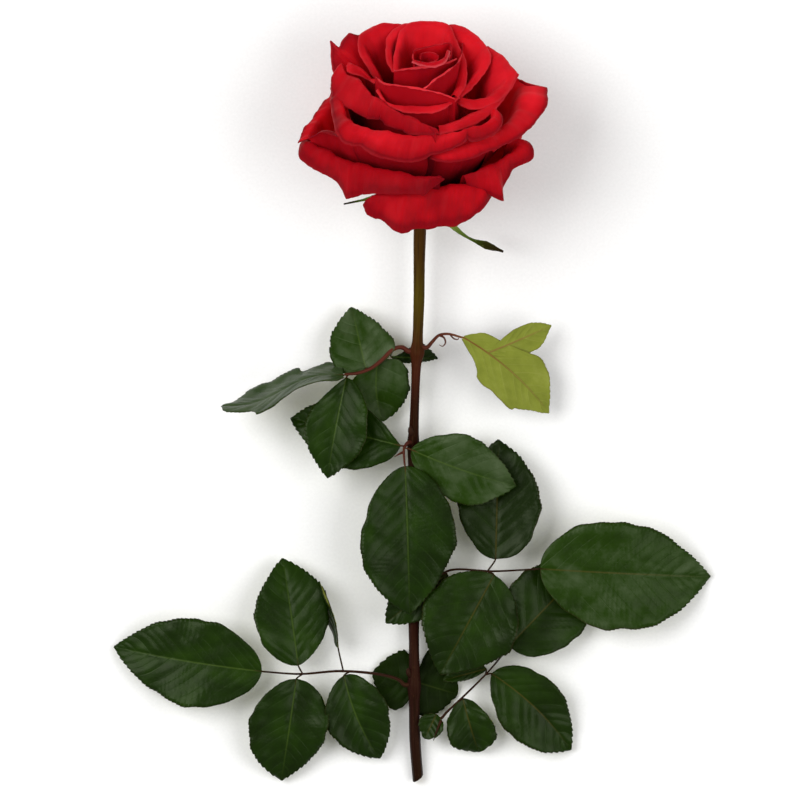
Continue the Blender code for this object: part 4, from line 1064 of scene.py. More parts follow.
# ------------------------------------------------------------------ stem
@dataclass
class Stem:
    """The woody stem, with swollen nodes, small buds above them and a slanted cut at its foot."""

    line: tuple[tuple[float, float, float, float], ...] = (
        (2.6, -159.0, 2.06, 2.2), (1.3, -141.0, 4.6, 2.3), (1.0, -125.0, 6.7, 2.3), (1.0, -118.7, 7.5, 2.9),
        (1.0, -112.0, 8.0, 2.3), (0.8, -92.0, 9.4, 2.3), (0.8, -88.0, 9.6, 2.6), (0.8, -83.0, 9.9, 2.3),
        (0.4, -24.0, 12.4, 2.05), (0.5, -17.0, 12.7, 2.5), (0.8, -10.0, 13.0, 2.0), (1.8, 17.0, 13.75, 2.15),
        (2.1, 21.6, 13.8, 3.1), (2.3, 26.0, 13.8, 2.3), (2.9, 43.5, 13.7, 2.3), (3.0, 60.0, 13.5, 2.4),
        (3.2, 71.0, 14.2, 2.6),
    )
    neck_heights: tuple[float, float] = (-13.6, -9.6)   # where it enters the hip, in the flower's frame
    neck_radius: float = 2.5
    rings: int = 420
    sides: int = 48
    ridges: tuple[Point, ...] = ((5.0, 0.02, 0.035), (8.0, -0.05, 0.02))    # count, twist, height's share
    unevenness: float = 0.007
    skin_radius: float = 2.3    # turns angles to distances on the bark
    cut_slant: Point = (-0.55, 0.8, 0.35)
    cut_inset: float = 1.5
    buds: tuple[tuple[float, float], ...] = ((-114.5, 150.0), (-84.0, 60.0), (-13.0, 120.0))    # y, azimuth
    bud_length: float = 3.4
    bud_radius: float = 1.15
    bud_bulge: float = 0.9
    seed: int = 5

    def centre(self) -> Grid:
        """Lay the stem's centre line.

        Returns:
            Rings (rings, values): x, y, z and radius.
        """
        knots = list(self.line)
        for below in self.neck_heights:
            knots.append((*FLOWER.point(0.0, 0.0, below), self.neck_radius))
        return even_line(knots, self.rings)

    def add_bud(self, draft: Draft, centre: Grid, height: float, azimuth: float) -> None:
        """Add a small pointed bud that hugs the stem above a leaf's joint.

        Args:
            draft: the piece that it joins.
            centre: the stem's rings.
            height: its place along the stem.
            azimuth: in degrees round the stem; 90 faces up.
        """
        ring = centre[int(np.argmin(np.abs(centre[:, 1] - height)))]
        angle = math.radians(azimuth)
        out = np.array([math.cos(angle), 0.0, math.sin(angle)])
        share = np.linspace(0.0, 1.0, 14)
        lift = ring[3] - 0.5 + self.bud_bulge * np.sin(math.pi * share * 0.8)
        path = ring[:3] + share[:, None] * np.array([0.0, self.bud_length, 0.1]) + out * lift[:, None]
        # an egg's outline, blunt at its foot and pointed at its tip
        radii = self.bud_radius * np.sqrt(np.clip(1.0 - (1.6 * share - 0.55) ** 2 / 1.21, 0.01, 1.0))
        draft.add_grid(tube_grid(path, radii, 20), {"across": 3.0, "along": path[:, 1:2], "run": 0.3,
                                                    "seed": azimuth}, closed=True)

    def build(self) -> bpy.types.Object:
        """Make the stem and its buds.

        Returns:
            The stem.
        """
        chance = np.random.RandomState(self.seed)
        centre = self.centre()
        turn = full_turn(self.sides)
        run = centre[:, 1:2]
        ridges = sum(size * np.sin(count * turn + twist * run) for count, twist, size in self.ridges)
        knobs = chance.normal(0.0, self.unevenness, (self.rings, self.sides))
        grid = tube_grid(centre[:, :3], centre[:, 3:] * (1.0 + ridges + knobs), self.sides)
        share = (run - run.min()) / (run.max() - run.min())
        draft = Draft("stem_wood")
        values = {"across": turn * self.skin_radius, "along": run, "run": share, "seed": 0.0}
        draft.add_grid(grid, values, closed=True)
        piece = draft.to_object([BARK.build(), CutWoodFinish(self.line[0][:3]).build()])
        self.cut(piece)
        place_piece(piece, "stem_bark", "stem")
        buds = Draft("stem_buds")
        for height, azimuth in self.buds:
            self.add_bud(buds, centre, height, azimuth)
        place_piece(buds.to_object([STALK_DARK.build()]), "stem_bark", "stem")
        return piece

    def cut(self, piece: bpy.types.Object) -> None:
        """Slice the stem's foot, and give the cut face its own finish.

        Args:
            piece: the stem.
        """
        shape = bmesh.new()
        shape.from_mesh(piece.data)
        foot = Vector(self.line[0][:3]) + Vector((0.0, self.cut_inset, 0.0))
        sliced = bmesh.ops.bisect_plane(
            shape, geom=shape.verts[:] + shape.edges[:] + shape.faces[:], plane_co=foot * MM,
            plane_no=Vector(self.cut_slant), clear_inner=True)
        edges = [item for item in sliced["geom_cut"] if isinstance(item, bmesh.types.BMEdge)]
        for face in bmesh.ops.contextual_create(shape, geom=edges)["faces"]:
            face.material_index = 1
            face.smooth = False
        bmesh.ops.recalc_face_normals(shape, faces=shape.faces)
        shape.to_mesh(piece.data)
        shape.free()


# ------------------------------------------------------------------ hip and sepals
@dataclass(frozen=True)
class Sepal:
    """One sepal: its azimuth, its middle line in radius and height, its twist and its leafy tip."""

    azimuth: float
    places: tuple[tuple[float, float], ...]
    turn_deg: float = 0.0
    leafy: float = 0.0          # how far the tip widens again


@dataclass
class Calyx:
    """The hip under the petals, and its five sepals bent back."""

    profile: tuple[tuple[float, float], ...] = (
        (-9.0, 0.2), (-9.0, 2.4), (-7.5, 3.5), (-4.5, 4.8), (-1.5, 4.5), (-0.4, 3.9), (-0.3, 0.2))
    rings: int = 50
    sides: int = 72
    ribs: float = 10.0
    rib_height: float = 0.018   # as a share of the radius
    sepals: tuple[Sepal, ...] = (
        Sepal(168.0, ((3.0, -2.4), (12.0, -1.8), (23.6, -2.7), (32.7, -3.6)), turn_deg=35.0),
        Sepal(14.0, ((3.0, -2.4), (10.0, -12.5), (20.0, -21.5), (36.0, -26.5)), turn_deg=-40.0, leafy=1.3),
        Sepal(88.0, ((3.0, -2.4), (8.0, -3.0), (13.0, -5.0), (18.0, -8.0))),
        Sepal(235.0, ((3.0, -2.4), (9.0, -4.0), (14.0, -8.0), (19.0, -13.0))),
        Sepal(308.0, ((3.0, -2.4), (9.0, -4.0), (14.0, -8.0), (20.0, -12.0))),
    )
    sepal_width: float = 6.5
    sepal_thickness: float = 0.5
    sepal_rows: int = 60
    sepal_columns: int = 13
    sepal_cup: float = 0.25     # rise of its margins, and depth of the furrow between them
    fringe: float = 0.10        # share of the width by which every fourth row stands out
    leafy_place: float = 0.86
    leafy_length: float = 0.09

    def half_widths(self, sepal: Sepal, share: Grid) -> Grid:
        """Shape a sepal: a swollen base, a long taper, a leafy tip and a fine fringe.

        Args:
            sepal: the sepal.
            share: places along it, from 0 to 1.

        Returns:
            A half-width for each place.
        """
        swell = np.sin(math.pi * np.minimum(1.0, share + 0.3))
        half = 0.5 * self.sepal_width * (0.25 + 0.75 * swell) * (1.0 - 0.72 * share)
        half = half + sepal.leafy * np.exp(-((share - self.leafy_place) / self.leafy_length) ** 2)
        return half * (1.0 + self.fringe * (np.arange(len(share)) % 4 == 2))

    def add_sepal(self, draft: Draft, sepal: Sepal, seed: int) -> None:
        """Add a cupped, tapering sepal.

        Args:
            draft: the piece that it joins.
            sepal: the sepal.
            seed: number of its streaks.
        """
        line = even_line(sepal.places, self.sepal_rows)
        share = np.linspace(0.0, 1.0, self.sepal_rows)
        turn = math.radians(sepal.turn_deg)
        tangent = FLOWER.point(sepal.azimuth + 90.0, 1.0, 0.0) - np.array(FLOWER.base)
        axis = FLOWER.point(0.0, 0.0, 1.0) - np.array(FLOWER.base)
        across = tangent * math.cos(turn) + axis * math.sin(turn)
        lift = axis * math.cos(turn) - tangent * math.sin(turn)
        wide = np.linspace(-1.0, 1.0, self.sepal_columns)[None] * self.half_widths(sepal, share)[:, None]
        rise = np.abs(wide) * self.sepal_cup - self.sepal_cup * np.exp(-(wide / 0.5) ** 2)
        grid = FLOWER.point(sepal.azimuth, line[:, 0], line[:, 1])[:, None]
        grid = grid + wide[..., None] * across + rise[..., None] * lift
        draft.add_grid(grid, {"across": wide, "along": path_length(line) * share[:, None],
                              "run": share[:, None], "seed": float(seed)})

    def build(self) -> list[bpy.types.Object]:
        """Make the hip and the sepals.

        Returns:
            The two pieces.
        """
        line = even_line(self.profile, self.rings)
        turn = full_turn(self.sides, 360.0)
        ribs = 1.0 + self.rib_height * np.sin(np.radians(turn * self.ribs))
        grid = FLOWER.point(turn, line[:, 1:] * ribs, line[:, :1])
        hip = Draft("hip_skin")
        share = np.linspace(0.0, 1.0, self.rings)[:, None]
        values = {"across": turn * 0.08, "along": line[:, :1], "run": share, "seed": 0.0}
        hip.add_grid(grid, values, closed=True, flip=True)
        finish = HIP.build()
        sepals = Draft("sepals")
        for seed, sepal in enumerate(self.sepals):
            self.add_sepal(sepals, sepal, seed)
        pieces = [hip.to_object([finish]), sepals.to_object([finish], self.sepal_thickness)]
        for piece in pieces:
            place_piece(piece, "hip_skin", "calyx")
        return pieces


# ------------------------------------------------------------------ leaves
LEAST_REACH = 0.3               # of a margin from its midrib


@dataclass(frozen=True)
class Margin:
    """One side of a blade: its reach from the midrib, where that is greatest, and how blunt each end is."""

    wide: float
    broad: float = 0.45         # share of the length where the blade is widest
    point: float = 1.9          # 1 makes a straight wedge of the tip, 3 a blunt end
    shoulder: float = 0.5       # 1 makes a narrow base, 0.3 a broad round one

    def reach(self, share: Grid) -> Grid:
        """Distance from the midrib along the blade."""
        early = np.sin(0.5 * math.pi * np.clip(share / self.broad, 0.0, 1.0)) ** self.shoulder
        late = 1.0 - np.clip((share - self.broad) / (1.0 - self.broad), 0.0, 1.0) ** self.point
        return np.maximum(self.wide * np.where(share < self.broad, early, late), LEAST_REACH)


@dataclass(frozen=True)
class WavyMargin:
    """One side of a blade that waves in and out: its distances from the midrib at shares of the length."""

    places: tuple[tuple[float, float], ...]

    def reach(self, share: Grid) -> Grid:
        """Distance from the midrib along the blade."""
        line = even_line(self.places, 200)
        return np.maximum(np.interp(share, line[:, 0], line[:, 1]), LEAST_REACH)


@dataclass(frozen=True)
class Leaflet:
    """One blade: where its base and tip lie, its two margins, and how it is turned and bent."""

    base: Point
    tip: Point
    left: Margin | WavyMargin
    right: Margin | WavyMargin
    roll: float = 0.0           # degrees about its own length
    arch: float = 0.06          # rise of the middle, as a share of the length
    fold: float = 0.12          # rise of the margins on each side of the midrib
    bend: float = 0.0           # sideways bow of the midrib, as a share of the length
    wave: float = 0.8           # ripple of the margin
    tone: float = 0.0           # painted greyish gloss above 0, painted shade below
    sway: float = 0.0           # rise of the base's half and fall of the tip's half
    heart: float = 0.0          # how far the lobes at its base sweep back
    ribbed: bool = True         # whether its midrib stands out

    def axes(self) -> tuple[Grid, float, Grid, Grid, Grid]:
        """Work out how it lies.

        Returns:
            Its base and length, and unit vectors along, across and out of its upper face.
        """
        base = np.array(self.base)
        reach = np.array(self.tip) - base
        length = float(np.linalg.norm(reach))
        along = reach / length
        across = np.cross(along, (0.0, 0.0, 1.0))
        across = across / np.linalg.norm(across)
        out = np.cross(across, along)
        turn = math.radians(self.roll)
        side = across * math.cos(turn) + out * math.sin(turn)
        return base, length, along, side, np.cross(side, along)


@dataclass
class BladeMaker:
    """How a leaflet's blade is drawn: saw teeth, sunk side veins with puffed skin between them, a midrib."""

    tooth_pitch: float = 1.8
    tooth_depth: float = 0.24
    tooth_lean: float = 0.6     # how far a tooth's tip leans forward
    tooth_peak: float = 0.75    # share of a tooth before its tip
    tooth_start: float = 0.86   # share of the way from the midrib where teeth begin
    tooth_fades: tuple[float, float] = (0.12, 0.05)     # lengths' shares at base and tip with weak ones
    fewest_teeth: int = 6
    steps_per_tooth: int = 5
    columns: int = 25
    column_crowding: float = 1.15
    lobes: Waves = ((2.3, 0.018), (4.1, 0.014), (7.3, 0.010))   # slow waves of the margins
    vein_pitch: float = 5.6
    fewest_veins: float = 4.0
    vein_sweep: float = 0.26    # how far a side vein runs forward, as a share of the length
    vein_curve: float = 0.08    # and how much more at its end
    vein_stagger: float = 0.35  # how far the right side's veins are ahead of the left's
    vein_wander: float = 0.22   # how uneven their spacing is
    puff: float = 0.45          # height of the skin between side veins
    groove: float = 0.3         # depth of the furrow over the midrib
    groove_width: float = 0.9
    buckles: Waves = ((23.0, 0.7), (13.0, 0.42), (7.0, 0.2))
    buckle_share: float = 0.8
    thickness: float = 0.34
    floor: float = 0.25
    seed_step: float = 3.7
    tone_spread: float = 0.05

    def half_width(self, leaflet: Leaflet, share: Grid, place: Grid, chance: np.random.RandomState) -> Grid:
        """Shape both sides, with slow lobes.

        Args:
            leaflet: the blade.
            share: places along it, from 0 to 1.
            place: places across it, from -1 to 1.
            chance: source of its random draws.

        Returns:
            Distances from the midrib to the margin.
        """
        half = np.where(place < 0.0, leaflet.left.reach(share), leaflet.right.reach(share))
        for waves, size in self.lobes:
            phase = np.where(place < 0.0, *chance.uniform(0.0, LAST_PHASE, 2))
            half = half * (1.0 + size * np.sin(2.0 * math.pi * waves * share + phase))
        return half

    def teeth(self, reach: Grid, vigour: Grid, chance: np.random.RandomState) -> Grid:
        """Saw the outermost skin into teeth.

        Args:
            reach: share of the way from the midrib to the margin.
            vigour: how strong the teeth are along it.
            chance: source of its random draws.

        Returns:
            How far each point stands out in a tooth, 0 to about 1.
        """
        rows = len(vigour)
        saw = (np.arange(rows) % self.steps_per_tooth)[:, None] / self.steps_per_tooth
        saw = np.where(saw < self.tooth_peak, saw / self.tooth_peak, (1.0 - saw) / (1.0 - self.tooth_peak))
        edge = np.clip((reach - self.tooth_start) / (1.0 - self.tooth_start), 0.0, 1.0) ** 1.5
        return saw * vigour * edge * (0.8 + 0.4 * chance.uniform(size=(rows, 1)))

    def veins(self, length: float, share: Grid, place: Grid, half: Grid,
              chance: np.random.RandomState) -> Grid:
        """Count the side veins, which sweep forward.

        Args:
            length: of the blade.
            share: places along it, from 0 to 1.
            place: places across it, from -1 to 1.
            half: distances from the midrib to the margin.
            chance: source of its random draws.

        Returns:
            A number at each point: whole on a vein, half midway between two.
        """
        reach = np.abs(place)
        pairs = max(self.fewest_veins, length / self.vein_pitch)
        vein = pairs * (share - self.vein_sweep * reach * half / half.max() - self.vein_curve * reach**2)
        vein = vein + np.where(place > 0.0, self.vein_stagger, 0.0) + chance.uniform()
        phase = chance.uniform(0.0, LAST_PHASE)
        return vein + self.vein_wander * np.sin(vein * 1.9 + np.where(place > 0.0, 2.0, 0.0) + phase)

    def relief(self, reach: Grid, vein: Grid, half: Grid, wide: Grid) -> Grid:
        """Puff the skin between side veins, and sink it over the midrib.

        Args:
            reach: share of the way from the midrib to the margin.
            vein: the side veins' count.
            half: distances from the midrib to the margin.
            wide: distance from the midrib.

        Returns:
            Heights (rows, columns).
        """
        body = np.clip(reach / 0.15, 0.0, 1.0) * np.clip((1.0 - reach) / 0.25, 0.0, 1.0)
        slim = (half / (half.max() + 0.1)) ** 0.5
        puffs = self.puff * (np.abs(np.sin(math.pi * vein)) ** 0.8 - 0.5) * body * slim
        return puffs - self.groove * np.exp(-(wide / self.groove_width) ** 2)

    def buckling(self, wide: Grid, forward: Grid, reach: Grid, chance: np.random.RandomState) -> Grid:
        """Buckle the whole blade slowly, but not its midrib.

        Args:
            wide: distance from the midrib.
            forward: distance along it.
            reach: share of the way from the midrib to the margin.
            chance: source of its random draws.

        Returns:
            Heights (rows, columns).
        """
        buckle = np.zeros_like(wide)
        for pitch, size in self.buckles:
            heading = chance.uniform(0.0, math.pi)
            swing = wide * math.cos(heading) + forward * math.sin(heading)
            buckle += size * np.sin(2.0 * math.pi * swing / pitch + chance.uniform(0.0, LAST_PHASE)) * reach
        return buckle

    def add(self, draft: Draft, leaflet: Leaflet, seed: int, side_up: Side) -> Grid:
        """Add the blade.

        Args:
            draft: the piece that it joins.
            leaflet: its place and form.
            seed: number of its small irregularities.
            side_up: the face that looks up.

        Returns:
            Points along its midrib.
        """
        chance = np.random.RandomState(seed)
        base, length, along, side, out = leaflet.axes()
        rows = max(self.fewest_teeth, round(length / self.tooth_pitch)) * self.steps_per_tooth + 1
        share = np.linspace(0.0, 1.0, rows)[:, None]
        place = np.linspace(-1.0, 1.0, self.columns)[None]
        place = np.sign(place) * np.abs(place) ** self.column_crowding
        reach = np.abs(place)
        half = self.half_width(leaflet, share, place, chance)
        base_fade, tip_fade = self.tooth_fades
        vigour = np.clip(share / base_fade, 0.0, 1.0) * np.clip((1.0 - share) / tip_fade, 0.0, 1.0)
        tooth = self.teeth(reach, vigour, chance)
        wide = place * half + np.sign(place) * tooth * self.tooth_depth
        forward = share * length + tooth * self.tooth_lean
        forward = forward - leaflet.heart * reach**1.5 * np.clip(1.0 - share / 0.3, 0.0, 1.0) ** 2
        vein = self.veins(length, share, place, half, chance)
        buckle = self.buckling(wide, forward, reach, chance)
        hump = 4.0 * share * (1.0 - share)
        facing = 1.0 if side_up is Side.UPPER else -1.0
        rise = leaflet.arch * length * hump + leaflet.fold * np.abs(wide)
        rise = rise + leaflet.wave * np.sin(2.0 * math.pi * (1.6 * share + 0.1)) * place * reach
        rise = rise + leaflet.sway * np.sin(2.0 * math.pi * share)
        rise = rise + self.relief(reach, vein, half, wide) * facing + buckle * vigour * self.buckle_share
        across = wide * math.sqrt(1.0 - leaflet.fold**2) + leaflet.bend * length * hump
        grid = base + forward[..., None] * along + across[..., None] * side + rise[..., None] * out
        grid[..., 2] = np.maximum(grid[..., 2], self.floor)
        tone = leaflet.tone + chance.uniform(-self.tone_spread, self.tone_spread)
        draft.add_grid(grid, {"across": wide, "along": forward, "side": reach, "vein": vein, "share": share,
                              "seed": self.seed_step * seed, "tone": tone})
        return grid[:, self.columns // 2]


@dataclass
class CompoundLeaf:
    """A compound leaf: its rachis, leaflets, midribs and stipules."""

    name: str
    rachis: tuple[Point, ...]
    leaflets: tuple[Leaflet, ...]
    stipules: tuple[tuple, ...] = ()    # width, then points from root to tip
    finish: LeafFinish = LEAF_TOP
    side_up: Side = Side.UPPER
    maker: BladeMaker = field(default_factory=BladeMaker)
    rachis_radii: tuple[float, float] = (0.9, 0.42)
    stalk: BarkFinish = STALK
    root_depth: float = 0.75            # how far towards the stem's centre it is rooted
    foot_swelling: float = 0.5
    foot_length: float = 2.2
    rib_radii: tuple[float, float] = (0.36, 0.1)
    rib_runs: tuple[float, float] = (0.62, 1.0)     # where its colours lie in the stalk's finish
    rib_end: float = 0.93               # share of the midrib that stands out
    rib_sinking: float = 0.3            # how deep it sinks, and how many points before and while it does
    rib_sunk: tuple[float, float] = (10.0, 14.0)
    joint_rows: int = 8                 # rows of the blade over which its stalk joins the midrib
    stipule_tip: float = 0.12

    def add_stalk(self, draft: Draft, path: Grid, radii: tuple[float, float], sides: int, seed: int,
                  runs: tuple[float, float] = (0.0, 0.6), foot: float = 0.0) -> None:
        """Add a thin round stalk.

        Args:
            draft: the piece that it joins.
            path: its centre line, from its foot.
            radii: at its foot and tip.
            sides: points round it.
            seed: number of its streaks.
            runs: where the colours of its foot and tip lie in its finish.
            foot: how far its foot swells.
        """
        share = np.linspace(0.0, 1.0, len(path))
        swollen = foot * np.exp(-np.linalg.norm(path - path[0], axis=1) / self.foot_length)
        grid = tube_grid(path, radii[0] + (radii[1] - radii[0]) * share + swollen, sides)
        draft.add_grid(grid, {"across": full_turn(sides), "along": path_length(path) * share[:, None],
                              "run": runs[0] + (runs[1] - runs[0]) * share[:, None], "seed": float(seed)},
                       closed=True)

    def add_rib(self, draft: Draft, line: Grid, middle: Grid, out: Grid, seed: int) -> None:
        """Add a leaflet's short stalk and the midrib that sinks into its blade.

        Args:
            draft: the piece that it joins.
            line: points along the rachis.
            middle: points along the blade's middle.
            out: unit vector out of the face that the rib sinks from.
            seed: number of its streaks.
        """
        nearest = int(np.argmin(np.linalg.norm(line - middle[0], axis=1)))
        start = self.joint_rows
        joint = even_line([line[max(nearest - 2, 0)], middle[0], middle[start]], 16)
        rib = np.concatenate([joint[:-1], middle[start:int(self.rib_end * len(middle)):2]])
        before, during = self.rib_sunk
        sinking = np.clip((np.arange(len(rib)) - before) / during, 0.0, 1.0)[:, None]
        self.add_stalk(draft, rib - out * self.rib_sinking * sinking, self.rib_radii, 12, seed, self.rib_runs)

    def build(self, stem_centre: Grid) -> list[bpy.types.Object]:
        """Make the blades and the stalks, which grow out of the stem.

        Args:
            stem_centre: points of the stem's centre line.

        Returns:
            The two pieces.
        """
        upper_up = self.side_up is Side.UPPER
        blades, stalks = Draft(self.name + "_blades"), Draft(self.name + "_stalks")
        root = np.array(self.rachis[0])
        inside = stem_centre[int(np.argmin(np.linalg.norm(stem_centre - root, axis=1)))]
        line = even_line([root + (inside - root) * self.root_depth, *self.rachis], 80)
        self.add_stalk(stalks, line, self.rachis_radii, 20, 1, foot=self.foot_swelling)
        for number, leaflet in enumerate(self.leaflets):
            seed = sum(map(ord, self.name)) + 11 * number
            middle = self.maker.add(blades, leaflet, seed, self.side_up)
            if leaflet.ribbed:
                out = leaflet.axes()[4] * (1.0 if upper_up else -1.0)
                self.add_rib(stalks, line, middle, out, seed)
        for number, (width, *places) in enumerate(self.stipules):
            self.add_stalk(stalks, even_line(places, 30), (width * 0.5, self.stipule_tip), 12, 40 + number)
        order = [self.finish.build(), LEAF_UNDER.build()]
        if not upper_up:
            order.reverse()
        pieces = [blades.to_object(order, self.maker.thickness), stalks.to_object([self.stalk.build()])]
        for piece in pieces:
            place_piece(piece, "leaf_green" if upper_up else "leaf_pale", self.name)
        return pieces
